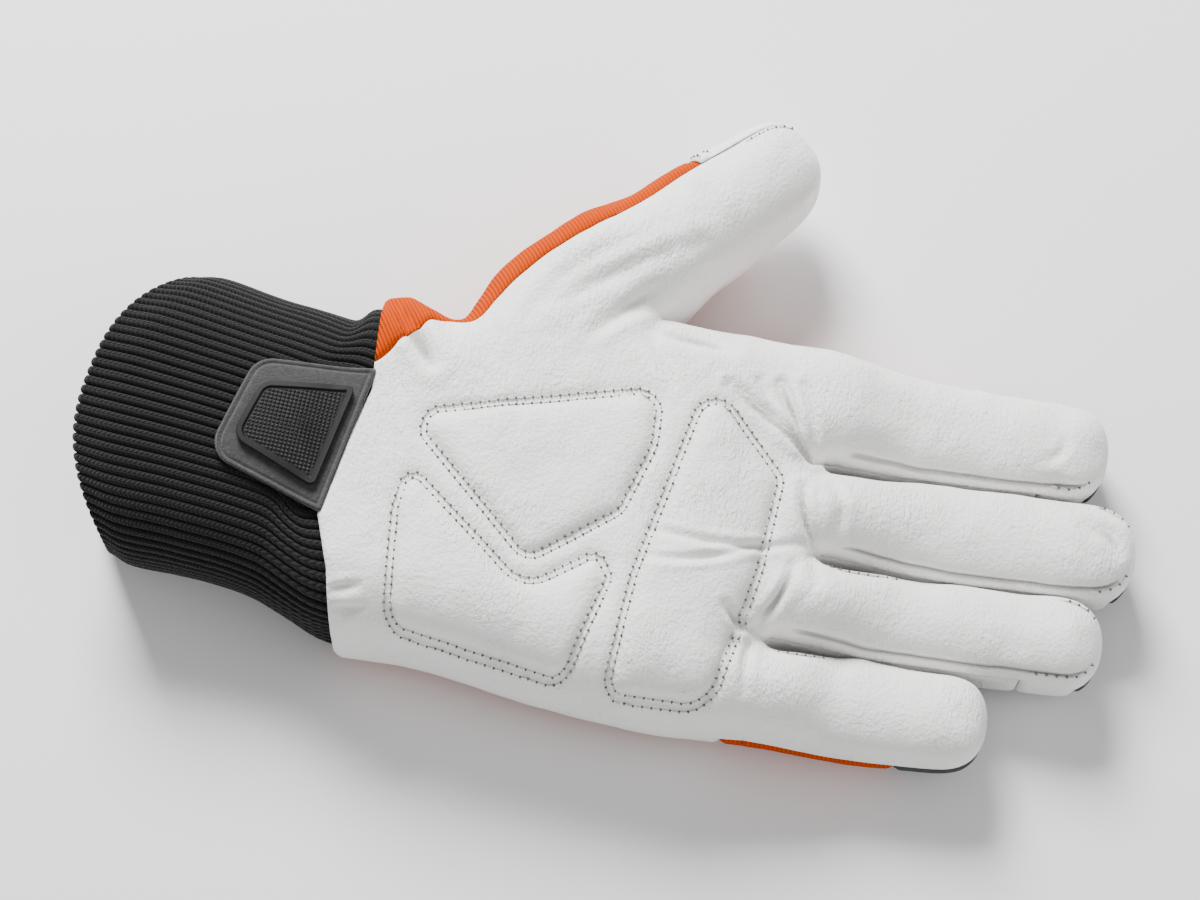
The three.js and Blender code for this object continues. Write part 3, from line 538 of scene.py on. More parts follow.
def back_labels(digit, way):
    """The piece on each row of the back."""
    if digit == 4:
        return np.where(way >= THUMB_CAP, LABEL["thumb_cap"], LABEL["back"])
    patch = LABEL[f"fingertip_patch_{DIGITS[digit].name}"]
    return np.where(way >= PATCH_START, patch, LABEL["back"])


def wrapped_rows(digit, way, palm_way):
    """The rows in which the leather covers the edge towards the little finger."""
    if digit == 0:
        return palm_way < WRAP_END
    end = THUMB_WRAP_END if digit == 4 else FINGER_WRAP_END
    start = 0 if digit == 4 else STRIP_END
    return (palm_way >= 1) & (way > start) & (way < end)


def grid_quads(ids, flip=False):
    """The four corners of each cell of a grid of point numbers, counted the other way if flip."""
    quads = np.stack([ids[:-1, :-1], ids[1:, :-1], ids[1:, 1:], ids[:-1, 1:]], axis=-1)
    return quads[..., ::-1] if flip else quads


def triangles(quads):
    """Each quad's two triangles, without those that have no area."""
    tris = np.concatenate([quads[:, [0, 1, 2]], quads[:, [0, 2, 3]]])
    a, b, c = tris.T
    return tris[(a != b) & (b != c) & (a != c)]


def edge_list(tris):
    """The three directed edges of every triangle."""
    return np.concatenate([tris[:, [0, 1]], tris[:, [1, 2]], tris[:, [2, 0]]])


def vertex_normals(points, tris, settled=None):
    """The sum of the area vectors of the triangles at each point, made a unit vector. At the
    settled points the sums of the points around are added six times over, so that a tip's
    slivers count for nothing beside the larger triangles around them."""
    a, b, c = points[tris[:, 0]], points[tris[:, 1]], points[tris[:, 2]]
    area = np.cross(b - a, c - a)
    total = np.zeros_like(points)
    for corner in range(3):
        for axis in range(3):
            total[:, axis] += np.bincount(tris[:, corner], area[:, axis], len(points))
    if settled is not None:
        edges = edge_list(tris)
        start, end = edges[settled[edges[:, 0]]].T
        for _ in range(6):
            around = [np.bincount(start, total[end, axis], len(points)) for axis in range(3)]
            total = total + np.stack(around, 1)
    return unit(total)


class Hand:
    """The whole outer surface of the hand: merged points, triangles and their pieces."""

    def __init__(self):
        self.chunks = []
        self.down = []
        self.bulge = []
        self.quads = []
        self.labels = []
        self.count = 0
        self.edges = {}
        self.hem = {"front": [], "back": []}
        for digit in range(5):
            self.add_digit(digit)
        points = np.concatenate(self.chunks)
        down = np.concatenate(self.down)
        keys = np.floor(points * 500 + 0.7137).astype(np.int64)
        _, first, merged = np.unique(keys, axis=0, return_index=True, return_inverse=True)
        merged = merged.ravel()
        self.points = points[first]
        self.down = down[first]
        self.bulge = np.concatenate(self.bulge)[first]
        quads = merged[np.concatenate(self.quads)]
        labels = np.concatenate(self.labels)
        tris = np.concatenate([quads[:, [0, 1, 2]], quads[:, [0, 2, 3]]])
        labels = np.concatenate([labels, labels])
        a, b, c = tris.T
        keep = (a != b) & (b != c) & (a != c)
        self.tris, self.labels = tris[keep], labels[keep]
        tips = np.stack([digit.point(1.0, 0.0) for digit in DIGITS])
        gap = np.linalg.norm(self.points[:, None, :2] - tips, axis=2).min(1)
        self.normals = vertex_normals(self.points, self.tris, gap < 7)
        self.edges = {key: merged[ids] for key, ids in self.edges.items()}

    def add_points(self, points, down, bulge=0.0):
        """Adds a grid of points and returns the grid of their numbers."""
        ids = self.count + np.arange(points[..., 0].size).reshape(points.shape[:-1])
        self.chunks.append(points.reshape(-1, 3))
        self.down.append(np.broadcast_to(down, points.shape[:-1]).ravel())
        self.bulge.append(np.broadcast_to(bulge, points.shape[:-1]).ravel())
        self.count += ids.size
        return ids

    def add_quads(self, ids, labels, flip):
        """Adds a grid's cells with the piece of each."""
        quads = grid_quads(ids, flip)
        self.quads.append(quads.reshape(-1, 4))
        self.labels.append(np.broadcast_to(labels, quads.shape[:2]).ravel())

    def add_digit(self, digit):
        """A digit's front, back and the side walls on its free edges."""
        point, way, palm_way = strip_grid(digit) if digit < 4 else thumb_grid()
        front, back = lifted(point, digit, np.broadcast_to(way[:, None], point.shape[:2]))
        middle = (way[1:] + way[:-1]) / 2
        labels = np.full((len(middle), point.shape[1] - 1), LABEL["palm"])
        if digit == 4:
            labels[:, STRIP_COLUMNS:] = back_labels(digit, middle)[:, None]
        front_ids = self.add_points(front, 0.0)
        back_ids = self.add_points(back, 1.0)
        self.add_quads(front_ids, labels, False)
        under = np.repeat(back_labels(digit, middle)[:, None], point.shape[1] - 1, axis=1)
        wrapped = wrapped_rows(digit, middle, palm_way[:-1])
        columns = THUMB_WRAP_COLUMNS if digit == 4 else WRAP_COLUMNS
        under[wrapped, :columns] = LABEL["palm"]
        if 0 < digit < 4:
            beside = (middle > STRIP_WRAP_START) & (middle < STRIP_END)
            under[beside, :STRIP_WRAP_COLUMNS] = LABEL[f"fourchette_{STRIP_NAMES[digit - 1]}"]
        self.add_quads(back_ids, under, True)
        skip = 0 if digit == 0 else 1
        self.hem["front"].append(front[0, skip:])
        self.hem["back"].append(back[0, skip:])
        if digit == 4:
            self.edges["thumb_seam"] = front_ids[(way > 0.74) & (way < 0.96), STRIP_COLUMNS - 2]
            hem = np.abs(way - THUMB_CAP).argmin()
            self.edges["cap_hem"] = front_ids[hem + 1, STRIP_COLUMNS + 2:-1]
            self.edges["cap_row"] = front_ids[hem + 4, STRIP_COLUMNS + 2:-1]
        in_palm = way[1:] == 0
        free = {-1: ~in_palm | (digit == 0), 1: ~in_palm | (digit == 4)}
        if digit == 3:
            free[1] = ~in_palm | (palm_way[:-1] >= THUMB_SHARE - 1e-6)
        for side, column in ((-1, 0), (1, -1)):
            rows = np.flatnonzero(free[side])
            rows = np.arange(rows[0], rows[-1] + 2)
            seam = 0.5 * np.ones(len(rows))
            if side < 0 and digit == 0:
                seam = along(LITTLE_SIDE_SEAM, "way", "down", palm_way[rows])
            elif side < 0:
                table = FINGER_SIDE_SEAM if digit < 4 else THUMB_SIDE_SEAM
                seam = along(table, "way", "down", way[rows])
            t = shares(SIDE_ROWS)
            down = np.concatenate([t * seam[:, None], mix(seam[:, None], 1.0, t[1:])], axis=1)
            wall = mix(front[rows, column][:, None], back[rows, column][:, None],
                       down[..., None])
            bulge = side_bulge(digit, side, way[rows], palm_way[rows])
            ids = self.add_points(wall, down, np.sin(np.pi * down) * bulge[:, None])
            half = middle[rows[:-1]]
            labels = np.empty((len(half), 2 * SIDE_ROWS), int)
            labels[:, :SIDE_ROWS] = side_labels(digit, side, half, True)[:, None]
            labels[:, SIDE_ROWS:] = side_labels(digit, side, half, False)[:, None]
            if side < 0:
                labels[wrapped[rows[:-1]]] = LABEL["palm"]
            self.add_quads(ids, labels, side < 0)
            if digit == 0 and side < 0:
                self.hem["near"] = wall[0]
            if digit == 4 and side > 0:
                self.hem["far"] = wall[0]

    def hem_loop(self):
        """The hem as one closed line: over the front, down, along the back and up again."""
        front = np.concatenate(self.hem["front"])
        back = np.concatenate(self.hem["back"])[::-1]
        return np.concatenate([front, self.hem["far"][1:-1], back, self.hem["near"][1:-1][::-1]])


def open_edges(tris, count):
    """The directed edges that only one triangle has, and that triangle's third corner."""
    edges = edge_list(tris)
    third = np.concatenate([tris[:, 2], tris[:, 0], tris[:, 1]])
    forward = edges[:, 0] * count + edges[:, 1]
    alone = ~np.isin(forward, edges[:, 1] * count + edges[:, 0])
    return edges[alone], third[alone]


def reach_from(points, tris, start, rings=9):
    """The shortest way along triangle edges from the start points, over that many edges."""
    edges = edge_list(tris)
    length = np.linalg.norm(points[edges[:, 0]] - points[edges[:, 1]], axis=1)
    far = np.full(len(points), 1e3)
    far[start] = 0
    for _ in range(rings):
        found = far.copy()
        np.minimum.at(found, edges[:, 0], far[edges[:, 1]] + length)
        np.minimum.at(found, edges[:, 1], far[edges[:, 0]] + length)
        far = found
    return far


def closed_wall(points, normals, tris, thickness, relief, gap=SEAM_GAP, tuck=0.75, roll=1.0):
    """A piece of a surface as a closed wall, in millimetres. Its outer skin is the surface
    moved out by relief and, near its edges, in by tuck * exp(-(distance / roll)^2). Its inner
    skin is the surface moved in by thickness, and a rim joins them at the open edges."""
    used, local = np.unique(tris, return_inverse=True)
    tris = local.reshape(tris.shape)
    base, out = points[used].copy(), normals[used]
    edges, third = open_edges(tris, len(used))
    inward = base[third] - base[edges[:, 0]]
    along_edge = unit(base[edges[:, 1]] - base[edges[:, 0]])
    inward = unit(inward - (inward * along_edge).sum(1)[:, None] * along_edge)
    drawn = np.zeros_like(base)
    np.add.at(drawn, edges[:, 0], inward)
    np.add.at(drawn, edges[:, 1], inward)
    rim = np.unique(edges)
    distance = reach_from(base, tris, rim)
    base[rim] += unit(drawn[rim]) * gap / 2
    sink = tuck * np.exp(-(distance / roll) ** 2)
    outer = base + out * (relief[used] - sink)[:, None]
    inner = base - out * thickness
    n = len(used)
    a, b = edges.T
    faces = np.concatenate([tris, tris[:, ::-1] + n, np.stack([b, a, a + n], 1),
                            np.stack([b, a + n, b + n], 1)])
    return np.concatenate([outer, inner]), faces, used


def new_object(name, points, faces, material, smooth_shaded=True, values=None, uv=None):
    """A mesh object at the origin from points in millimetres and triangles or quads. values
    are named numbers for each point, uv a place in the pattern for each point."""
    mesh = bpy.data.meshes.new(name)
    sides = faces.shape[1]
    mesh.vertices.add(len(points))
    mesh.vertices.foreach_set("co", (points * MM).astype(np.float32).ravel())
    mesh.loops.add(faces.size)
    mesh.loops.foreach_set("vertex_index", faces.astype(np.int32).ravel())
    mesh.polygons.add(len(faces))
    mesh.polygons.foreach_set("loop_start", np.arange(0, faces.size, sides, dtype=np.int32))
    mesh.polygons.foreach_set("loop_total", np.full(len(faces), sides, np.int32))
    mesh.polygons.foreach_set("use_smooth", np.full(len(faces), smooth_shaded))
    for key, numbers in (values or {}).items():
        layer = mesh.attributes.new(key, "FLOAT", "POINT")
        layer.data.foreach_set("value", numbers.astype(np.float32))
    if uv is not None:
        layer = mesh.uv_layers.new(name="pattern")
        layer.data.foreach_set("uv", uv.astype(np.float32).ravel())
    mesh.update()
    mesh.validate()
    mesh.materials.append(material)
    obj = bpy.data.objects.new(name, mesh)
    bpy.context.scene.collection.objects.link(obj)
    return obj


# Folds of the palm leather in millimetres: a line bent through three places, how deep the fold
# is in the middle and how wide. Those at the root of the index finger come first.
FOLDS = [
    # x, y, x, y, x, y, depth, width
    (57, 20, 52, 28, 47, 39, 2.8, 1.5),
    (56, 20, 46, 28, 33, 36, 2.4, 1.4),
    (57, 20, 51, 25, 41, 39, 1.6, 1.2),
    (58, 21, 56, 30, 53, 40, 1.7, 1.2),
    (16, -7, 36, -9, 56, -4, 1.0, 1.1),
    (17, -15, 30, -14, 45, -7, 0.9, 1.1),
    (55, 11, 56, 3, 60, -4, 2.1, 1.2),
    (63, 12, 65, 6, 65, -1, 1.7, 1.4),
    (54, -11, 52, -19, 47, -26, 2.1, 1.2),
    (58, -8, 61, -13, 60, -19, 0.9, 1.1),
    (131, 12, 137, 10, 140, 6, 1.4, 2.2),
    (120, 25, 124, 24, 129, 23, 0.7, 1.2),
    (119, 29, 123, 31, 124, 35, 0.6, 1.3),
    (-16, 52, 0, 63, 22, 76, 1.1, 2.2),
    (-5, 45, 4, 54, 12, 62, 1.2, 1.9),
    (-22, 48, -12, 62, 6, 74, 0.8, 2.2),
    (12, 50, 22, 49, 32, 47, 1.7, 2.2),
    (10, 48, 14, 42, 18, 34, 1.0, 1.8),
    (47, -28, 42, -28, 37, -25, 1.6, 1.3),
    (47, -28, 45, -36, 45, -46, 0.9, 1.2),
    (-64, -34, -61, -33, -57, -32, 1.0, 1.1),
    (-62, -38, -59, -38, -55, -37, 1.0, 1.1),
    (-58, 49, -52, 40, -46, 31, 3.2, 2.3),
]

# Seams on the front of the fingers, near their edges: digit, side towards the little finger
# (-1) or the thumb (1), shares of the digit where the groove starts and ends, and where its
# stitches start and end
DIGIT_SEAMS = [
    (0, 1, 0.02, 0.3, 0.03, 0.26),
    (1, 1, 0.02, 0.3, 0.03, 0.28),
    (1, 1, 0.78, 0.985, 0.84, 0.975),
    (2, 1, 0.82, 0.99, 0.86, 0.98),
    (1, -1, 0.03, 0.99, 0.78, 0.985),
    (2, -1, 0.03, 0.99, 0.86, 0.985),
    (3, -1, 0.03, 0.975, 0.8, 0.95),
    (3, 1, 0.05, 0.2, 0.0, 0.0),
]


def bent_line(row, count=24):
    """A quadratic curve through a fold's three places: the first, middle and last of the row."""
    start, middle, end = (np.array(row[k:k + 2], float) for k in (0, 2, 4))
    control = 2 * middle - (start + end) / 2
    t = shares(count)[:, None]
    return mix(mix(start, control, t), mix(control, end, t), t)


def fold_relief(plan):
    """Valleys -depth * exp(-(distance / width)^2) with low ridges on both sides, all fading
    out towards the two ends of each fold as a sine."""
    total = np.zeros(len(plan))
    for row in FOLDS:
        line = bent_line(row)
        depth, width = row[6:]
        reach = 4 * width
        near = ((plan > line.min(0) - reach) & (plan < line.max(0) + reach)).all(1)
        distance, piece = distance_to_line(plan[near], line)
        fade = np.sin(np.pi * (0.08 + 0.84 * (piece + 0.5) / (len(line) - 1))) ** 0.8
        valley = -np.exp(-(distance / width) ** 2)
        ridge = 0.4 * np.exp(-((distance - 2 * width) / width) ** 2)
        total[near] += depth * fade * (valley + ridge)
    return total


def seam_line(digit, side, first, last):
    """A line on a digit's front, SEAM_INSET inside its edge, between two shares of it."""
    ways = np.sin(np.linspace(np.arcsin(first), np.arcsin(last), 60))
    line = DIGITS[digit].point(ways, np.full(60, float(side)))
    line = resample(line, 1.0)
    ahead = unit(np.gradient(line, axis=0))
    inward = side * np.stack([ahead[:, 1], -ahead[:, 0]], 1)
    return line + SEAM_INSET * inward


def seam_grooves(plan):
    """Grooves exp(-(distance / SEAM_WIDTH)^2) along the digits' seams, which fade out over the
    last millimetres at both ends."""
    total = np.zeros(len(plan))
    for digit, side, first, last, _, _ in DIGIT_SEAMS:
        line = seam_line(digit, side, first, last)
        near = ((plan > line.min(0) - 3) & (plan < line.max(0) + 3)).all(1)
        distance, piece = distance_to_line(plan[near], line)
        fade = smooth(0, 8, np.minimum(piece, len(line) - 2 - piece))
        total[near] += fade * np.exp(-(distance / SEAM_WIDTH) ** 2)
    return np.minimum(total, 1)


def cap_fold(hand):
    """The turned hem of the thumb cap: a ridge exp(-((distance - 1.6) / 1.1)^2) of the distance
    along the thumb from the hem, on the cap's own points."""
    own = np.zeros(len(hand.points), bool)
    own[hand.tris[hand.labels == LABEL["thumb_cap"]]] = True
    own[hand.tris[hand.labels != LABEL["thumb_cap"]]] = False
    start, ahead = THUMB.point(np.array([THUMB_CAP, THUMB_CAP + 0.01]), np.zeros(2))
    distance = (hand.points[:, :2] - start) @ unit(ahead - start)
    return own * np.exp(-((distance - 1.6) / 1.1) ** 2)


def wrinkles(points):
    """Smooth noise in three sizes, shorter along the fingers than across them."""
    squeezed = points * np.array([1.5, 1.0, 1.0])
    return (0.55 * lattice_noise(squeezed, 19, 1) + 0.22 * lattice_noise(squeezed, 8, 2)
            + 0.06 * lattice_noise(points, 3.5, 3))


# Surfaces worked out once, which several pieces need: the hand, the cuff and the tab
BUILT = {}


def hand_surface(sizes):
    """The hand with the relief of its pads, folds and wrinkles; worked out once for a set of
    sizes, since every piece of the hand is cut out of it."""
    key = (round(sizes.pad_puff * 1e6), round(sizes.stitch_groove * 1e6),
           round(sizes.wrinkle * 1e6))
    if BUILT.get("key") == key:
        return BUILT["hand"]
    hand = Hand()
    plan = hand.points[:, :2]
    puff, groove, wrinkle = (value / MM for value in
                             (sizes.pad_puff, sizes.stitch_groove, sizes.wrinkle))
    facing = smooth(0.05, 0.5, hand.normals[:, 2])
    relief = wrinkle * wrinkles(hand.points) * mix(0.35, 1.0, facing)
    hand.pad = np.full(len(plan), -20.0)
    for corners in PADS.values():
        line = rounded(corners, 0.8)
        near = ((plan > line.min(0) - 6) & (plan < line.max(0) + 6)).all(1) & (facing > 0)
        distance, _ = distance_to_line(plan[near], line, closed=True)
        signed = np.where(inside(plan[near], line), distance, -distance)
        hand.pad[near] = np.maximum(hand.pad[near], signed)
    raised = puff * (1 - np.exp(-np.maximum(hand.pad - ROW_GAP, 0) / 3.0))
    valley = np.exp(-((hand.pad - ROW_GAP / 2) / 1.7) ** 2)
    folds = facing * fold_relief(plan)
    seam = smooth(0.0, 0.12, hand.normals[:, 2]) * seam_grooves(plan)
    relief += facing * (raised - groove * valley) + folds - SEAM_DEPTH * seam
    # Painted shade: the seam values darken the leather in the finger seams' grooves and, by
    # FOLD_SHADE, in the folds
    hand.seam = np.maximum(seam, FOLD_SHADE * np.clip(-folds / 2, 0, 1))
    relief += HEM_FOLD * cap_fold(hand)
    upright = (hand.down > 0) & (hand.down < 1)
    hand.relief = relief * np.where(upright, 0.5, 1) + SIDE_BULGE * hand.bulge
    BUILT.update(key=key, hand=hand)
    return hand


def hand_piece(context, name, label, material, thickness, tuck=0.75):
    """One piece of the hand as a closed wall that stands for its plain solid."""
    hand = hand_surface(context.scene.glove_sizes)
    tris = hand.tris[hand.labels == LABEL[label]]
    points, faces, used = closed_wall(hand.points, hand.normals, tris, thickness, hand.relief,
                                      tuck=tuck)
    # Painted shade: the pads' stitched rows add to the seam values, which darken the leather there
    rows = np.exp(-(np.abs(np.abs(hand.pad - ROW_GAP / 2) - ROW_GAP / 2) / 0.7) ** 2)
    values = {"seam": np.maximum(hand.seam, ROW_SHADE * rows)[np.concatenate([used, used])]}
    obj = new_object(name, points, faces, material, values=values)
    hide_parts(label)
    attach(obj, BODY)
    return obj


# The cuff

def cuff_axes():
    """The cuff's directions outwards and towards the thumb."""
    turn = np.radians(CUFF_TURN)
    return (np.array([-np.cos(turn), np.sin(turn), 0.0]),
            np.array([np.sin(turn), np.cos(turn), 0.0]))


def cuff_points(loop, way):
    """The cuff's outer surface for a column of ways: the hem's loop drawn in under the leather,
    blended by a cubic into superellipse sections set out along the cuff's axis."""
    axis, aside = cuff_axes()
    middle = (loop.min(0) + loop.max(0)) / 2
    tuck = LEATHER + SEAM_GAP
    radius = (loop - middle) * np.array([0.0, 1.0, 1.0])
    shrink = 1 - tuck / np.minimum(np.linalg.norm(radius, axis=1), PALM_THICKNESS / 2)
    tucked = middle + radius * shrink[:, None]
    tucked[:, 0] = loop[:, 0]
    tucked[:, 2] = np.maximum(tucked[:, 2], tuck)
    way = way[:, None]
    inside_hem = tucked[None] - np.minimum(way, 0)[..., None] * CUFF_LENGTH * np.array([1.0, 0, 0])
    share = np.maximum(way, 0)
    column = {name: along(CUFF, "way", name, share) for name in CUFF if name != "way"}
    angle = np.arctan2(radius[:, 2] / CUFF_HEIGHT, radius[:, 1] / CUFF_WIDTH)[None]
    power = 2 / CUFF_ROUNDNESS
    across = np.sign(np.cos(angle)) * np.abs(np.cos(angle)) ** power
    upward = np.sign(np.sin(angle)) * np.abs(np.sin(angle)) ** power
    sideways = (column["side"] + across * column["width"] / 2) * CUFF_WIDTH
    height = CUFF_HEIGHT / 2 * (column["top"] + column["bottom"]
                                + (column["top"] - column["bottom"]) * upward)
    out = share + column["swell"] * (0.5 - np.cos(angle) ** 2) * np.minimum(2 * share, 1)
    free = (middle + out[..., None] * CUFF_LENGTH * axis + sideways[..., None] * aside)
    free[..., 2] = np.maximum(height, 0)
    start = inside_hem + share[..., None] * CUFF_LENGTH * axis
    return mix(start, free, smooth(0, 0.2, share)[..., None])


def ring_numbers(rows, columns):
    """Point numbers of a grid that closes on itself both ways: the first column comes again
    after the last one, and the first row after the last."""
    ids = np.arange(rows * columns).reshape(rows, columns)
    ids = np.concatenate([ids, ids[:, :1]], axis=1)
    ids = np.concatenate([ids, ids[:1]], axis=0)
    return ids


def evened(ring, share):
    """A closed ring's points moved by a share towards equal steps along it."""
    closed = np.vstack([ring, ring[:1]])
    length = np.concatenate([[0], np.cumsum(np.linalg.norm(np.diff(closed, axis=0), axis=1))])
    at = mix(length[:-1], np.arange(len(ring)) / len(ring) * length[-1], share)
    return np.stack([np.interp(at, length, closed[:, k]) for k in range(3)], axis=1)


def cuff_shape(hand, ribs, rib_height):
    """The cuff as rows of points: outer skin, folded end, inner skin. Each rib is raised as
    the root of a half sine, and gathers near the hem are smooth noise round the cuff."""
    loop = resample(hand.hem_loop(), 1.0, closed=True)
    length = len(loop)
    count = ribs * CUFF_STEPS
    spread = np.arange(count) / count * length
    closed = np.vstack([loop, loop[:1]])
    loop = np.stack([np.interp(spread, np.arange(length + 1), closed[:, k])
                     for k in range(3)], axis=1)
    lap = CUFF_LAP / CUFF_LENGTH
    half = KNIT / 2
    ways = np.concatenate([-lap * shares(5)[::-1][:-1], shares(92) * (1 - half / CUFF_LENGTH)])
    base = cuff_points(loop, ways)
    for row, way in enumerate(ways):
        base[row] = evened(base[row], smooth(0, 0.25, way))
    ids = ring_numbers(len(ways), count)[:-1]
    normals = vertex_normals(base.reshape(-1, 3), triangles(grid_quads(ids).reshape(-1, 4)))
    normals = normals.reshape(base.shape)
    if (normals[len(ways) // 2] * (base[len(ways) // 2] - base[len(ways) // 2].mean(0))).sum() < 0:
        normals = -normals
    phase = np.arange(count) / CUFF_STEPS
    rib = rib_height * (np.abs(np.sin(np.pi * phase)) ** 0.45 - 0.85)
    show = smooth(-lap, 0.02, ways)[:, None]
    around = np.stack([np.cos(phase / ribs * 2 * np.pi), np.sin(phase / ribs * 2 * np.pi)], 1)
    places = np.concatenate([np.repeat(around[None] * 24, len(ways), 0),
                             np.repeat(ways[:, None, None] * 40, count, 1)], axis=2)
    rough = lattice_noise(places.reshape(-1, 3), 7.0, 5).reshape(len(ways), count)
    gather = (0.12 + 0.9 * np.exp(-np.maximum(ways, 0)[:, None] / 0.22)) * rough
    lift = (rib + gather) * show
    outer = base + normals * lift[..., None]
    end, out = base[-1], unit(base[-1] - base[-3])
    turn = shares(10)[1:-1, None, None] * np.pi
    swing = half + rib[:, None] * 0.8
    rolled = (end - normals[-1] * (half - swing * np.cos(turn))
              + out * swing * np.sin(turn))
    inner = (base - normals * (KNIT - 0.5 * rib[None])[..., None])[::-3]
    shape = np.concatenate([outer, rolled, inner])
    shape[..., 2] = np.maximum(shape[..., 2], 0)
    return shape, base, normals


class Ground:
    """A surface to lay things on: heights and normals by the plane at the nearest point."""

    def __init__(self, points, normals):
        upward = normals[:, 2] > 0.15
        self.points, self.normals = points[upward], normals[upward]

    def at(self, plan):
        """The points over places of the plan, and the normals there."""
        nearest = np.empty(len(plan), int)
        for low in range(0, len(plan), 400):
            gap = ((plan[low:low + 400, None] - self.points[None, :, :2]) ** 2).sum(2)
            nearest[low:low + 400] = gap.argmin(1)
        point, normal = self.points[nearest], self.normals[nearest]
        offset = plan - point[:, :2]
        slope = (offset * normal[:, :2]).sum(1) / normal[:, 2]
        height = point[:, 2] - np.clip(slope, -1, 1)
        return np.concatenate([plan, height[:, None]], axis=1), normal


def disc_grid(outline_line, rings):
    """A closed line's inside as rings: each is the line drawn towards the middle by a quarter
    sine, so that rings crowd at the edge. The innermost is the middle point alone."""
    middle = outline_line.mean(0)
    share = np.sin(shares(rings) * np.pi / 2)[:, None, None]
    return middle + share * (outline_line - middle)[None]


def disc_triangles(rings, around):
    """Triangles of a disc grid: a fan round the middle and quads between rings."""
    ids = np.arange(rings * around).reshape(rings, around) + 1
    ids = np.concatenate([ids, ids[:, :1]], axis=1)
    fan = np.stack([np.zeros(around, int), ids[0, :-1], ids[0, 1:]], axis=1)
    return np.concatenate([fan, triangles(grid_quads(ids).reshape(-1, 4))])


def blurred(rings, times):
    """Numbers on rings averaged with their neighbours on both sides, several times."""
    for _ in range(times):
        out = np.concatenate([rings[:1], rings, rings[-1:]])
        rings = (out[:-2] + out[2:] + np.roll(rings, 1, 1) + np.roll(rings, -1, 1)
                 + 2 * rings) / 6
        rings[0] = rings[0].mean()
    return rings


# Stitches

STITCH_RINGS = 5
STITCH_SIDES = 6


def stitch_mesh(centres, ahead, up, length, radius):
    """Short threads: each is a spindle whose radius follows the root of a sine along its
    length, bowed so that its two ends dip into the leather."""
    t = (np.arange(STITCH_RINGS) + 0.5) / STITCH_RINGS
    angle = np.arange(STITCH_SIDES) / STITCH_SIDES * 2 * np.pi
    swell = radius * np.sqrt(np.sin(np.pi * t))
    bow = radius * (1.6 * np.sin(np.pi * t) - 0.9)
    forward = np.concatenate([[-0.5], np.repeat(t - 0.5, STITCH_SIDES), [0.5]]) * length
    sideways = np.concatenate([[0], (swell[:, None] * np.cos(angle)).ravel(), [0]])
    height = np.concatenate([[-1.4 * radius], (swell[:, None] * np.sin(angle)
                                               + bow[:, None]).ravel(), [-1.4 * radius]])
    across = unit(np.cross(up, ahead))
    points = (centres[:, None] + forward[None, :, None] * ahead[:, None]
              + sideways[None, :, None] * across[:, None] + height[None, :, None] * up[:, None])
    ring = 1 + np.arange(STITCH_RINGS * STITCH_SIDES).reshape(STITCH_RINGS, STITCH_SIDES)
    after = np.roll(ring, -1, axis=1)
    last = STITCH_RINGS * STITCH_SIDES + 1
    faces = np.concatenate([
        np.stack([ring[0] * 0, after[0], ring[0]], 1),
        np.stack([ring[:-1], after[:-1], after[1:]], -1).reshape(-1, 3),
        np.stack([ring[:-1], after[1:], ring[1:]], -1).reshape(-1, 3),
        np.stack([ring[-1], after[-1], ring[0] * 0 + last], 1)])
    count = points.shape[1]
    faces = (faces[None] + np.arange(len(centres))[:, None, None] * count).reshape(-1, 3)
    return points.reshape(-1, 3), faces


def row_of_stitches(points, normals, pitch, closed=False):
    """Centres, directions and normals of stitches at equal steps along a line of points."""
    both = resample(np.concatenate([points, normals], axis=1), pitch / 4, closed)
    line, up = both[:, :3], unit(both[:, 3:])
    length = np.concatenate([[0], np.cumsum(np.linalg.norm(np.diff(line, axis=0), axis=1))])
    count = max(int(length[-1] / pitch), 1)
    at = (np.arange(count) + 0.5) * length[-1] / count
    centre = np.stack([np.interp(at, length, line[:, k]) for k in range(3)], 1)
    front = np.stack([np.interp(at + pitch / 4, length, line[:, k]) for k in range(3)], 1)
    back = np.stack([np.interp(at - pitch / 4, length, line[:, k]) for k in range(3)], 1)
    normal = unit(np.stack([np.interp(at, length, up[:, k]) for k in range(3)], 1))
    ahead = unit(front - back)
    return centre, unit(ahead - (ahead * normal).sum(1)[:, None] * normal), normal


# Materials

def linear(hex_colour):
    """An sRGB hex colour as linear red, green and blue."""
    channels = [int(hex_colour[k:k + 2], 16) / 255 for k in (1, 3, 5)]
    return tuple(c / 12.92 if c <= 0.04045 else ((c + 0.055) / 1.055) ** 2.4 for c in channels)


def material(name, colour, roughness, **settings):
    """A new material and its shader, with its plain values set on the shader's own sockets."""
    made = bpy.data.materials.new(name)
    made.use_nodes = True
    shader = made.node_tree.nodes["Principled BSDF"]
    shader.inputs["Base Color"].default_value = (*colour, 1)
    shader.inputs["Roughness"].default_value = roughness
    for key, value in settings.items():
        shader.inputs[key.replace("_", " ")].default_value = value
    return made, shader


def node(made, kind, inputs=None, **settings):
    """Adds a node with its settings. An input is a number, a colour or another node's output."""
    added = made.node_tree.nodes.new(kind)
    for key, value in settings.items():
        setattr(added, key, value)
    for key, value in (inputs or {}).items():
        if isinstance(value, bpy.types.NodeSocket):
            made.node_tree.links.new(value, added.inputs[key])
        else:
            added.inputs[key].default_value = value
    return added


def place(made):
    """The object's own coordinates in millimetres."""
    coordinates = node(made, "ShaderNodeTexCoord")
    return node(made, "ShaderNodeVectorMath", {0: coordinates.outputs["Object"],
                                               1: (1000, 1000, 1000)},
                operation="MULTIPLY").outputs["Vector"]


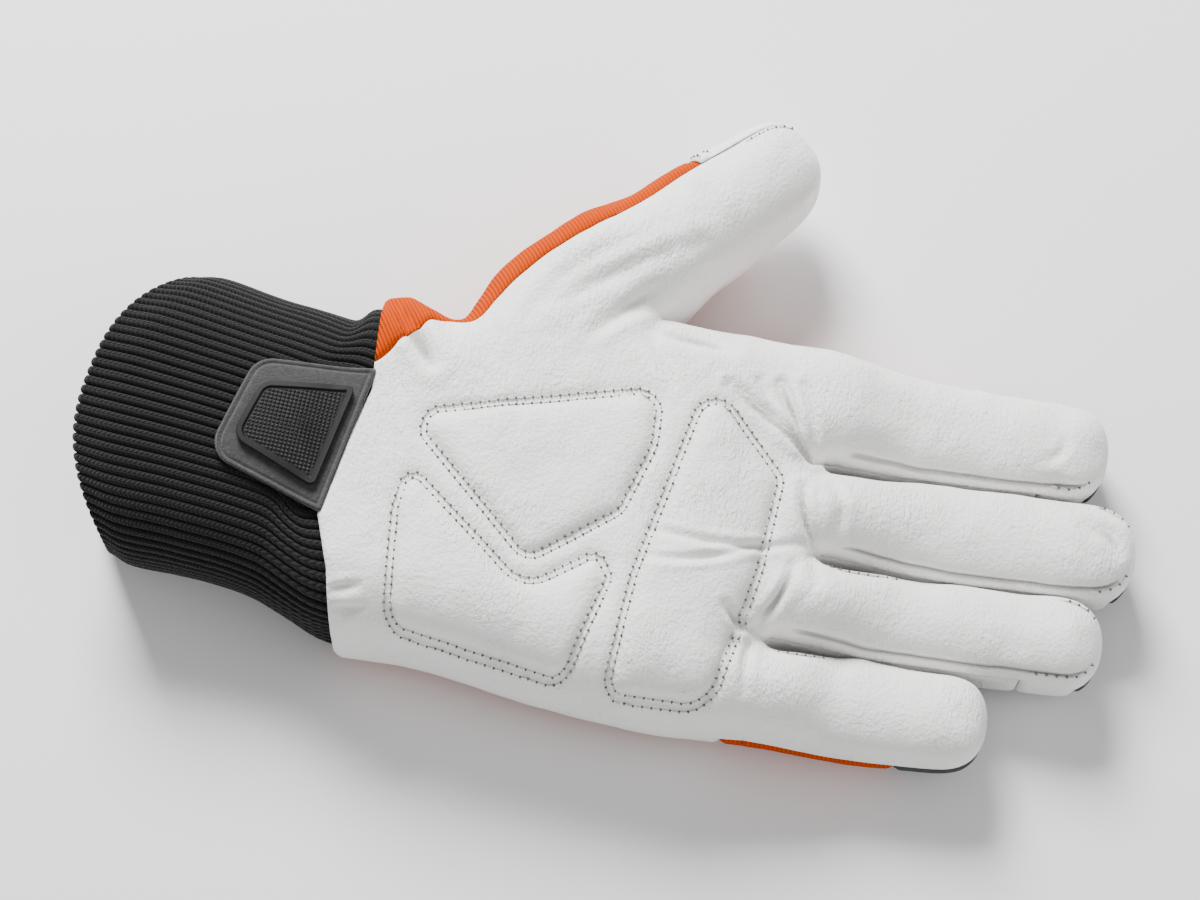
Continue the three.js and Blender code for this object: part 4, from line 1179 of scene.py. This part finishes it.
def ramp(made, value, stops):
    """Numbers or colours along a value: stops are pairs of place and grey or colour."""
    added = node(made, "ShaderNodeValToRGB", {"Fac": value})
    elements = added.color_ramp.elements
    while len(elements) < len(stops):
        elements.new(0.5)
    for element, (at, colour) in zip(elements, stops):
        element.position = at
        element.color = (colour, colour, colour, 1) if isinstance(colour, float) else (*colour, 1)
    return added.outputs["Color"]


def calculated(made, operation, first, second=0.0):
    """A sum, product or other result of one or two numbers or outputs."""
    return node(made, "ShaderNodeMath", {0: first, 1: second}, operation=operation).outputs[0]


def bump(made, shader, height, depth, under=None):
    """Bumps of a depth in millimetres, on top of other bumps."""
    inputs = {"Height": height, "Distance": depth * MM, "Strength": 1.0}
    if under is not None:
        inputs["Normal"] = under
    added = node(made, "ShaderNodeBump", inputs)
    made.node_tree.links.new(added.outputs["Normal"], shader.inputs["Normal"])
    return added.outputs["Normal"]


def tint(made, shader, factor, first, second):
    """The base colour goes from the first colour to the second by a factor."""
    mixed = node(made, "ShaderNodeMix", {"Factor": factor}, data_type="RGBA")
    mixed.inputs["A"].default_value = (*first, 1)
    mixed.inputs["B"].default_value = (*second, 1)
    made.node_tree.links.new(mixed.outputs["Result"], shader.inputs["Base Color"])


def goat_leather(colour, shade):
    """Drum-tanned white goat grain leather under a thin finish: fine pebbles about 1 mm across
    break the soft highlights, drawn-out creases come and go in regions of some 15 mm, and
    painted shade greys the leather deep in the seams, along the stitched rows and in the folds."""
    made, shader = material("goat_leather", colour, 0.48, Specular_IOR_Level=0.42)
    at = place(made)
    regions = node(made, "ShaderNodeTexNoise", {"Vector": at, "Scale": 0.06, "Detail": 2.0})
    pebble = node(made, "ShaderNodeTexVoronoi", {"Vector": at, "Scale": 0.95,
                                                 "Randomness": 1.0}, feature="SMOOTH_F1")
    fine = node(made, "ShaderNodeTexNoise", {"Vector": at, "Scale": 2.6, "Detail": 3.0})
    long = node(made, "ShaderNodeMapping", {"Vector": at, "Rotation": (0, 0, 0.4),
                                            "Scale": (1.15, 0.4, 0.8)})
    crease = node(made, "ShaderNodeTexNoise", {"Vector": long.outputs["Vector"], "Scale": 0.9,
                                               "Detail": 2.5, "Distortion": 0.9})
    patches = ramp(made, regions.outputs["Fac"], [(0.42, 0.15), (0.62, 1.0)])
    creases = calculated(made, "MULTIPLY", crease.outputs["Fac"], patches)
    height = calculated(made, "MULTIPLY", pebble.outputs["Distance"], 0.5)
    first = bump(made, shader, height, 0.42)
    second = bump(made, shader, fine.outputs["Fac"], 0.2, first)
    bump(made, shader, creases, 0.6, second)
    # Painted shade: the seam values tint the leather towards the shade colour in grooves, stitched
    # rows and folds
    seam = node(made, "ShaderNodeAttribute", attribute_name="seam")
    tint(made, shader, ramp(made, seam.outputs["Fac"], [(0.25, 0.0), (0.9, 0.8)]),
         colour, shade)
    return made


def stretch_fabric(colour, shade):
    """Dyed polyester stretch cloth: a twill with ribs 1 mm apart that run across the thumb,
    quite matt, with shade painted deeper orange between the ribs."""
    made, shader = material("stretch_fabric", colour, 0.9, Specular_IOR_Level=0.05)
    at = place(made)
    turned = node(made, "ShaderNodeMapping", {"Vector": at, "Rotation": (0, 0, -0.5)})
    ribs = node(made, "ShaderNodeTexWave", {"Vector": turned.outputs["Vector"],
                                            "Scale": 0.31, "Distortion": 0.4},
                bands_direction="X")
    fuzz = node(made, "ShaderNodeTexNoise", {"Vector": at, "Scale": 2.2, "Detail": 3.0})
    first = bump(made, shader, ribs.outputs["Fac"], 0.22)
    bump(made, shader, fuzz.outputs["Fac"], 0.12, first)
    # Painted shade: the fabric goes to its darker colour in the hollows between the ribs
    tint(made, shader, ramp(made, ribs.outputs["Fac"], [(0.0, 0.0), (0.6, 1.0)]),
         shade, colour)
    return made


def rib_knit(colour, shade):
    """Black acrylic rib knit: each rib is one column of V-shaped stitches, 1.4 mm a stitch,
    fuzzy and without gloss, with shade painted almost black in the grooves between ribs and
    between stitches."""
    made, shader = material("rib_knit", colour, 0.95, Sheen_Weight=0.1, Sheen_Roughness=0.6,
                            Specular_IOR_Level=0.2)
    uv = node(made, "ShaderNodeUVMap", uv_map="pattern")
    parts = node(made, "ShaderNodeSeparateXYZ", {"Vector": uv.outputs["UV"]})
    across = calculated(made, "FRACT", parts.outputs["X"])
    half = calculated(made, "ABSOLUTE", calculated(made, "SUBTRACT", across, 0.5))
    slanted = calculated(made, "MULTIPLY", half, 1.5)
    upward = calculated(made, "DIVIDE", parts.outputs["Y"], 1.4)
    stitch = calculated(made, "FRACT", calculated(made, "ADD", upward, slanted))
    loop = calculated(made, "SINE", calculated(made, "MULTIPLY", stitch, 3.14159))
    middle = ramp(made, half, [(0.0, 0.35), (0.1, 1.0), (0.38, 0.8), (0.5, 0.0)])
    height = calculated(made, "MULTIPLY", loop, middle)
    first = bump(made, shader, height, 0.38)
    fuzz = node(made, "ShaderNodeTexNoise", {"Vector": place(made), "Scale": 3.4, "Detail": 4.0})
    bump(made, shader, fuzz.outputs["Fac"], 0.25, first)
    # Painted shade: the knit is darkest where the bump height is lowest, in the grooves
    tint(made, shader, height, shade, colour)
    return made


def tip_cloth(colour, shade):
    """Grey reinforced cloth: a plain weave of 0.7 mm threads, matt, with darker gaps."""
    made, shader = material("tip_patch", colour, 0.85, Specular_IOR_Level=0.25)
    at = place(made)
    weave = node(made, "ShaderNodeTexChecker", {"Vector": at, "Scale": 1.4})
    fuzz = node(made, "ShaderNodeTexNoise", {"Vector": at, "Scale": 2.0, "Detail": 3.0})
    first = bump(made, shader, weave.outputs["Fac"], 0.12)
    bump(made, shader, fuzz.outputs["Fac"], 0.2, first)
    tint(made, shader, fuzz.outputs["Fac"], colour, shade)
    return made


def tab_suede(colour, shade):
    """Grey split suede: brushed nap that lies in small patches, so it is mottled, quite matt
    and lighter at grazing angles."""
    made, shader = material("tab_suede", colour, 0.95, Sheen_Weight=0.35, Sheen_Roughness=0.5,
                            Specular_IOR_Level=0.15)
    at = place(made)
    nap = node(made, "ShaderNodeTexNoise", {"Vector": at, "Scale": 1.6, "Detail": 5.0,
                                            "Roughness": 0.7})
    patches = node(made, "ShaderNodeTexNoise", {"Vector": at, "Scale": 0.45, "Detail": 3.0,
                                                "Distortion": 0.8})
    bump(made, shader, nap.outputs["Fac"], 0.45)
    both = calculated(made, "MULTIPLY", nap.outputs["Fac"], patches.outputs["Fac"])
    tint(made, shader, ramp(made, both, [(0.1, 0.0), (0.45, 1.0)]), shade, colour)
    return made


def moulded_rubber(colour):
    """Injection-moulded soft black rubber: a fine spark-eroded skin, satin rather than shiny."""
    made, shader = material("badge_rubber", colour, 0.56, Specular_IOR_Level=0.3)
    skin = node(made, "ShaderNodeTexNoise", {"Vector": place(made), "Scale": 5.0, "Detail": 2.0})
    bump(made, shader, skin.outputs["Fac"], 0.05)
    return made


def sewing_thread(colour):
    """Pale twisted polyester thread, 0.4 mm thick, with a slight lustre. Its twist of 0.25 mm
    is drawn as bumps only."""
    made, shader = material("sewing_thread", colour, 0.55, Sheen_Weight=0.1)
    ply = node(made, "ShaderNodeTexWave", {"Vector": place(made), "Scale": 1.2},
               bands_direction="DIAGONAL")
    bump(made, shader, ply.outputs["Fac"], 0.1)
    return made


def needle_hole(colour):
    """The shaded leather in a needle hole with the thread going down: dark and quite matt."""
    return material("needle_hole", colour, 0.9, Specular_IOR_Level=0.1)[0]


def stage_paper(colour):
    """White seamless backdrop paper, quite matt."""
    return material("stage_paper", colour, 0.9, Specular_IOR_Level=0.1)[0]


# Properties and operators

def length_property(name, about, millimetres):
    """A length property whose default is given in millimetres."""
    return FloatProperty(name=name, description=about, default=millimetres * MM, min=0.0,
                         subtype="DISTANCE", unit="LENGTH")


def colour_property(name, about, hex_colour):
    """A colour property whose default is given as sRGB hex."""
    return FloatVectorProperty(name=name, description=about, default=linear(hex_colour), size=3,
                               min=0.0, max=1.0, subtype="COLOR")


class GloveSizes(bpy.types.PropertyGroup):
    """Sizes of the glove's details."""
    pad_puff: length_property("Pad puff", "How far the quilted pads stand up", 1.9)
    stitch_groove: length_property("Stitch groove", "Depth of the stitched grooves", 0.9)
    wrinkle: length_property("Wrinkles", "Height of the soft wrinkles", 1.3)
    stitch_pitch: length_property("Stitch pitch", "Distance from stitch to stitch", 2.4)
    thread: length_property("Thread", "Thickness of the sewing thread", 0.4)
    rib_height: length_property("Rib height", "Height of the cuff's ribs", 1.3)
    rib_width: length_property("Rib width", "Width of one rib of the cuff", 3.2)
    badge_rim: length_property("Badge rim", "Width of the badge's raised rim", 1.5)
    badge_dot: length_property("Badge dots", "Distance from dot to dot of the badge", 1.05)


class GloveColours(bpy.types.PropertyGroup):
    """Colours of the glove's materials."""
    leather: colour_property("Leather", "White goat leather", "#F7F6F4")
    # Painted shade that the leather gets in its seams, stitched rows and folds
    leather_painted_shade: colour_property("Leather shade", "Leather deep in the seams", "#55534E")
    fabric: colour_property("Fabric", "Orange stretch fabric", "#C44600")
    # Painted shade, used in the hollows between the fabric's ribs
    fabric_painted_shade: colour_property("Fabric shade", "Fabric in its folds", "#A83600")
    knit: colour_property("Knit", "Black rib knit", "#101010")
    # Painted shade in the grooves between the knit's ribs and stitches
    knit_painted_shade: colour_property("Knit grooves", "Knit between the ribs", "#060606")
    patch: colour_property("Tip patches", "Grey cloth under the fingertips", "#4A4D50")
    patch_shade: colour_property("Tip patch shade", "Gaps in the grey cloth", "#323537")
    suede: colour_property("Suede", "Grey suede of the tab", "#4A4A4A")
    suede_shade: colour_property("Suede shade", "Darker nap of the suede", "#343434")
    rubber: colour_property("Rubber", "Black rubber of the badge", "#070707")
    thread: colour_property("Thread", "Pale sewing thread", "#D9D8D4")
    hole: colour_property("Needle holes", "Shade in the needle holes", "#666666")
    paper: colour_property("Backdrop", "Floor under the glove", "#F6F6F6")


def finish_of(context, name):
    """The scene's material of that name, made the first time that it is asked for."""
    if name in bpy.data.materials and bpy.data.materials[name].get("of_glove"):
        return bpy.data.materials[name]
    colours = context.scene.glove_colours
    made = {
        "goat_leather": lambda: goat_leather(colours.leather, colours.leather_painted_shade),
        "stretch_fabric": lambda: stretch_fabric(colours.fabric, colours.fabric_painted_shade),
        "rib_knit": lambda: rib_knit(colours.knit, colours.knit_painted_shade),
        "tip_patch": lambda: tip_cloth(colours.patch, colours.patch_shade),
        "tab_suede": lambda: tab_suede(colours.suede, colours.suede_shade),
        "badge_rubber": lambda: moulded_rubber(colours.rubber),
        "sewing_thread": lambda: sewing_thread(colours.thread),
        "needle_hole": lambda: needle_hole(colours.hole),
        "stage_paper": lambda: stage_paper(colours.paper),
    }[name]()
    made.name = name
    made["of_glove"] = True
    return made


class GLOVE_OT_palm(bpy.types.Operator):
    """Adds the white leather over the palm, the fingers' fronts and the thumb's front"""
    bl_idname = "glove.palm"
    bl_label = "Palm leather"

    def execute(self, context):
        hand_piece(context, "palm_leather", "palm", finish_of(context, "goat_leather"), LEATHER)
        return {"FINISHED"}


class GLOVE_OT_back(bpy.types.Operator):
    """Adds the orange fabric over the back of the hand, the fingers and the thumb"""
    bl_idname = "glove.back"
    bl_label = "Back fabric"

    def execute(self, context):
        hand_piece(context, "back_fabric", "back", finish_of(context, "stretch_fabric"), FABRIC)
        return {"FINISHED"}


class GLOVE_OT_thumb_cap(bpy.types.Operator):
    """Adds the white leather over the back of the thumb's end"""
    bl_idname = "glove.thumb_cap"
    bl_label = "Thumb cap"

    def execute(self, context):
        hand_piece(context, "thumb_cap_leather", "thumb_cap", finish_of(context, "goat_leather"),
                   LEATHER, tuck=0.2)
        return {"FINISHED"}


class GLOVE_OT_tip_patches(bpy.types.Operator):
    """Adds the four dark grey patches under the fingertips"""
    bl_idname = "glove.tip_patches"
    bl_label = "Fingertip patches"

    def execute(self, context):
        for digit in DIGITS[:4]:
            hand_piece(context, f"tip_patch_{digit.name}", f"fingertip_patch_{digit.name}",
                       finish_of(context, "tip_patch"), FABRIC)
        return {"FINISHED"}


class GLOVE_OT_strips(bpy.types.Operator):
    """Adds the three white leather strips between neighbouring fingers"""
    bl_idname = "glove.strips"
    bl_label = "Strips between fingers"

    def execute(self, context):
        for name in STRIP_NAMES:
            hand_piece(context, f"strip_{name}", f"fourchette_{name}",
                       finish_of(context, "goat_leather"), LEATHER, tuck=0.5)
        return {"FINISHED"}


class GLOVE_OT_cuff(bpy.types.Operator):
    """Adds the ribbed knit cuff, folded over at its open end"""
    bl_idname = "glove.cuff"
    bl_label = "Knit cuff"

    def execute(self, context):
        sizes = context.scene.glove_sizes
        hand = hand_surface(sizes)
        loop = hand.hem_loop()
        round_hem = np.linalg.norm(np.diff(np.vstack([loop, loop[:1]]), axis=0), axis=1).sum()
        ribs = int(round(round_hem * MM / sizes.rib_width))
        shape, base, normals = cuff_shape(hand, ribs, sizes.rib_height / MM)
        BUILT["cuff"] = Ground(base.reshape(-1, 3), normals.reshape(-1, 3))
        rows, columns = shape.shape[:2]
        ids = ring_numbers(rows, columns)
        quads = grid_quads(ids).reshape(-1, 4)
        faces = np.concatenate([quads[:, [0, 1, 2]], quads[:, [0, 2, 3]]])
        points = shape.reshape(-1, 3)
        steps = np.linalg.norm(np.diff(shape[:, columns // 4], axis=0), axis=1)
        far = np.concatenate([[0], np.cumsum(steps), [0]])
        far[-1] = far[-2] + KNIT
        grid_uv = np.stack(np.meshgrid(far, np.arange(columns + 1) / CUFF_STEPS,
                                       indexing="ij")[::-1], axis=-1)
        corners = np.stack([grid_uv[:-1, :-1], grid_uv[1:, :-1], grid_uv[1:, 1:],
                            grid_uv[:-1, 1:]], axis=2).reshape(-1, 4, 2)
        uv = np.concatenate([corners[:, [0, 1, 2]], corners[:, [0, 2, 3]]])
        volume = np.einsum("ij,ij->i", points[faces[:, 0]],
                           np.cross(points[faces[:, 1]], points[faces[:, 2]])).sum()
        if volume < 0:
            faces, uv = faces[:, ::-1], uv[:, ::-1]
        obj = new_object("cuff_knit", points, faces, finish_of(context, "rib_knit"), uv=uv)
        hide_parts("cuff")
        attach(obj, BODY)
        return {"FINISHED"}


def laid_piece(name, label, plan, height, thickness, made, edge_drop):
    """A disc grid with its heights as a closed piece with rounded edges that stands for a
    plain solid."""
    rings, around = height.shape
    grid = np.dstack([plan, height])
    points = np.concatenate([grid[0, :1], grid[1:].reshape(-1, 3)])
    tris = disc_triangles(rings - 1, around)
    normals = vertex_normals(points, tris)
    if normals[:, 2].mean() < 0:
        tris, normals = tris[:, ::-1], -normals
    points, faces, _ = closed_wall(points, normals, tris, thickness, np.zeros(len(points)),
                                   0.0, edge_drop, 0.5)
    obj = new_object(name, points, faces, made)
    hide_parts(label)
    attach(obj, BODY)
    return obj


class GLOVE_OT_tab(bpy.types.Operator):
    """Adds the grey suede tab that lies on the cuff at the hem"""
    bl_idname = "glove.tab"
    bl_label = "Wrist tab"

    def execute(self, context):
        line = rounded(TAB_OUTLINE, 0.4)
        plan = disc_grid(line, 70)
        ground, _ = BUILT["cuff"].at(plan.reshape(-1, 2))
        height = blurred(ground[:, 2].reshape(plan.shape[:2]), 120)
        height += LAYER_GAP + TAB_THICKNESS + 0.3
        BUILT["tab"] = Ground(np.dstack([plan, height]).reshape(-1, 3),
                              np.tile([0.0, 0.0, 1.0], (height.size, 1)))
        edge = distance_to_line(plan.reshape(-1, 2), line, closed=True)[0].reshape(height.shape)
        top = height - 0.4 * np.exp(-((edge - 1.5) / 0.4) ** 2)
        laid_piece("wrist_tab_suede", "wrist_tab", plan, top, TAB_THICKNESS,
                   finish_of(context, "tab_suede"), 0.45)
        return {"FINISHED"}


class GLOVE_OT_badge(bpy.types.Operator):
    """Adds the black rubber badge with its raised rim and field of small dots"""
    bl_idname = "glove.badge"
    bl_label = "Badge"

    def execute(self, context):
        sizes = context.scene.glove_sizes
        line = rounded(BADGE_OUTLINE, 0.28)
        plan = disc_grid(line, 90)
        ground, _ = BUILT["tab"].at(plan.reshape(-1, 2))
        height = blurred(ground[:, 2].reshape(plan.shape[:2]), 60) + LAYER_GAP + BADGE_THICKNESS
        edge = distance_to_line(plan.reshape(-1, 2), line, closed=True)[0].reshape(height.shape)
        rim = sizes.badge_rim / MM
        pitch = sizes.badge_dot / MM
        field = smooth(rim, rim + 0.4, edge)
        turn = np.radians(TAB_TURN)
        u = plan[..., 0] * np.cos(turn) - plan[..., 1] * np.sin(turn)
        v = plan[..., 0] * np.sin(turn) + plan[..., 1] * np.cos(turn)
        du, dv = np.abs((u / pitch) % 1 - 0.5), np.abs((v / pitch) % 1 - 0.5)
        dot = 1 - smooth(0.2, 0.36, np.maximum(du, dv))
        inside_field = smooth(rim + 0.5, rim + 0.9, edge)
        top = height - 0.55 * field + 0.3 * dot * inside_field
        laid_piece("badge_rubber", "badge", plan, top, BADGE_THICKNESS - 0.3,
                   finish_of(context, "badge_rubber"), 0.25)
        return {"FINISHED"}


class GLOVE_OT_stitching(bpy.types.Operator):
    """Adds the stitches of the pads, the finger seams and the thumb cap, and dark spindles of
    painted shade in their needle holes
    """
    bl_idname = "glove.stitching"
    bl_label = "Stitching"

    def execute(self, context):
        sizes = context.scene.glove_sizes
        hand = hand_surface(sizes)
        moved = hand.points + hand.normals * hand.relief[:, None]
        top = Ground(moved, hand.normals)
        pitch, radius = sizes.stitch_pitch / MM, sizes.thread / MM / 2
        rows = []
        for corners in PADS.values():
            for inset in (0.0, ROW_GAP):
                line = rounded(corners, 0.4)
                tangent = np.roll(line, -1, axis=0) - np.roll(line, 1, axis=0)
                across = unit(np.stack([-tangent[:, 1], tangent[:, 0]], 1))
                if not inside(line[:1] + across[:1] * 0.1, line)[0]:
                    across = -across
                rows.append(row_of_stitches(*top.at(line + across * inset), pitch, True))
        for digit, side, _, _, first, last in DIGIT_SEAMS:
            if last > first:
                line = seam_line(digit, side, first, last)
                rows.append(row_of_stitches(*top.at(line), pitch))
        for key in ("thumb_seam", "cap_hem", "cap_row"):
            ids = hand.edges[key]
            rows.append(row_of_stitches(moved[ids], hand.normals[ids], pitch))
        centres, ahead, up = (np.concatenate(parts) for parts in zip(*rows))
        points, faces = stitch_mesh(centres, ahead, up, pitch * 0.8, radius)
        thread = new_object("hand_stitching", points, faces, finish_of(context, "sewing_thread"))
        # Painted shade: dark spindles at the needle holes stand for the shade inside them
        holes = centres + ahead * pitch / 2 + up * 0.04
        points, faces = stitch_mesh(holes, ahead, up, HOLE_LENGTH, HOLE_LENGTH * 0.42)
        dark = new_object("needle_holes", points, faces, finish_of(context, "needle_hole"))
        for obj in (thread, dark):
            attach(obj, BODY)
        return {"FINISHED"}


# The camera and its target in metres, its angles in degrees and its lens in millimetres
CAMERA = {"azimuth": 6.5, "elevation": 70.0, "lens": 85.0, "distance": 0.766,
          "target": (0, 0.020, 0.022)}
# Square lamps that look at the glove: place and side in metres, power in watts
LIGHTS = [
    ("key", (-0.35, 0.85, 0.8), 0.5, 39.0),
    ("fill", (0.8, -0.3, 0.9), 1.2, 5.0),
    ("front", (-0.4, -1.0, 0.5), 1.2, 2.5),
]
ROOM_LIGHT = 0.34
FLOOR_HALF = 3000.0  # millimetres from the middle to the floor's edge


class GLOVE_OT_stage(bpy.types.Operator):
    """Adds the pale floor, the soft studio light and the camera"""
    bl_idname = "glove.stage"
    bl_label = "Stage"

    def execute(self, context):
        low, _ = CAD_BOX
        corners = FLOOR_HALF * np.array([[-1, -1, 0], [1, -1, 0], [1, 1, 0], [-1, 1, 0]])
        corners[:, 2] = low[2] / MM
        floor = new_object("floor", corners, np.array([[0, 1, 2, 3]]),
                           finish_of(context, "stage_paper"), smooth_shaded=False)
        world = bpy.data.worlds.new("studio")
        world.use_nodes = True
        world.node_tree.nodes["Background"].inputs["Color"].default_value = (1, 1, 1, 1)
        world.node_tree.nodes["Background"].inputs["Strength"].default_value = ROOM_LIGHT
        context.scene.world = world
        for name, at, size, watts in LIGHTS:
            light = bpy.data.lights.new(name, "AREA")
            light.shape = "SQUARE"
            light.size, light.energy = size, watts
            lamp = bpy.data.objects.new(name, light)
            lamp.location = at
            lamp.rotation_euler = (Vector((0, 0.02, 0)) - Vector(at)).to_track_quat(
                "-Z", "Y").to_euler()
            context.scene.collection.objects.link(lamp)
        azimuth, elevation = np.radians(CAMERA["azimuth"]), np.radians(CAMERA["elevation"])
        target = Vector(CAMERA["target"])
        back = Vector((np.sin(azimuth) * np.cos(elevation), -np.cos(azimuth) * np.cos(elevation),
                       np.sin(elevation)))
        data = bpy.data.cameras.new("camera")
        data.lens, data.sensor_width = CAMERA["lens"], 36
        camera = bpy.data.objects.new("camera", data)
        camera.location = target + back * CAMERA["distance"]
        camera.rotation_euler = (-back).to_track_quat("-Z", "Y").to_euler()
        context.scene.collection.objects.link(camera)
        context.scene.camera = camera
        return {"FINISHED"}


class GLOVE_PT_panel(bpy.types.Panel):
    """The glove's sizes, colours and steps"""
    bl_idname = "GLOVE_PT_panel"
    bl_label = "Work glove"
    bl_space_type = "VIEW_3D"
    bl_region_type = "UI"
    bl_category = "Glove"

    def draw(self, context):
        for operator in OPERATORS:
            self.layout.operator(operator.bl_idname)
        for group in (context.scene.glove_sizes, context.scene.glove_colours):
            box = self.layout.box()
            for key in group.__annotations__:
                box.prop(group, key)


OPERATORS = (GLOVE_OT_palm, GLOVE_OT_back, GLOVE_OT_thumb_cap, GLOVE_OT_tip_patches,
             GLOVE_OT_strips, GLOVE_OT_cuff, GLOVE_OT_tab, GLOVE_OT_badge, GLOVE_OT_stitching,
             GLOVE_OT_stage)
CLASSES = (GloveSizes, GloveColours, *OPERATORS, GLOVE_PT_panel)


def register():
    """Registers the classes and hangs the two groups of properties on the scene."""
    for cls in CLASSES:
        bpy.utils.register_class(cls)
    bpy.types.Scene.glove_sizes = PointerProperty(type=GloveSizes)
    bpy.types.Scene.glove_colours = PointerProperty(type=GloveColours)


def unregister():
    """Takes the properties and classes away again."""
    del bpy.types.Scene.glove_colours
    del bpy.types.Scene.glove_sizes
    for cls in reversed(CLASSES):
        bpy.utils.unregister_class(cls)


def main():
    """Builds the glove and the stage."""
    register()
    for operator in OPERATORS:
        group, name = operator.bl_idname.split(".")
        getattr(getattr(bpy.ops, group), name)()


if __name__ == "__main__":
    main()
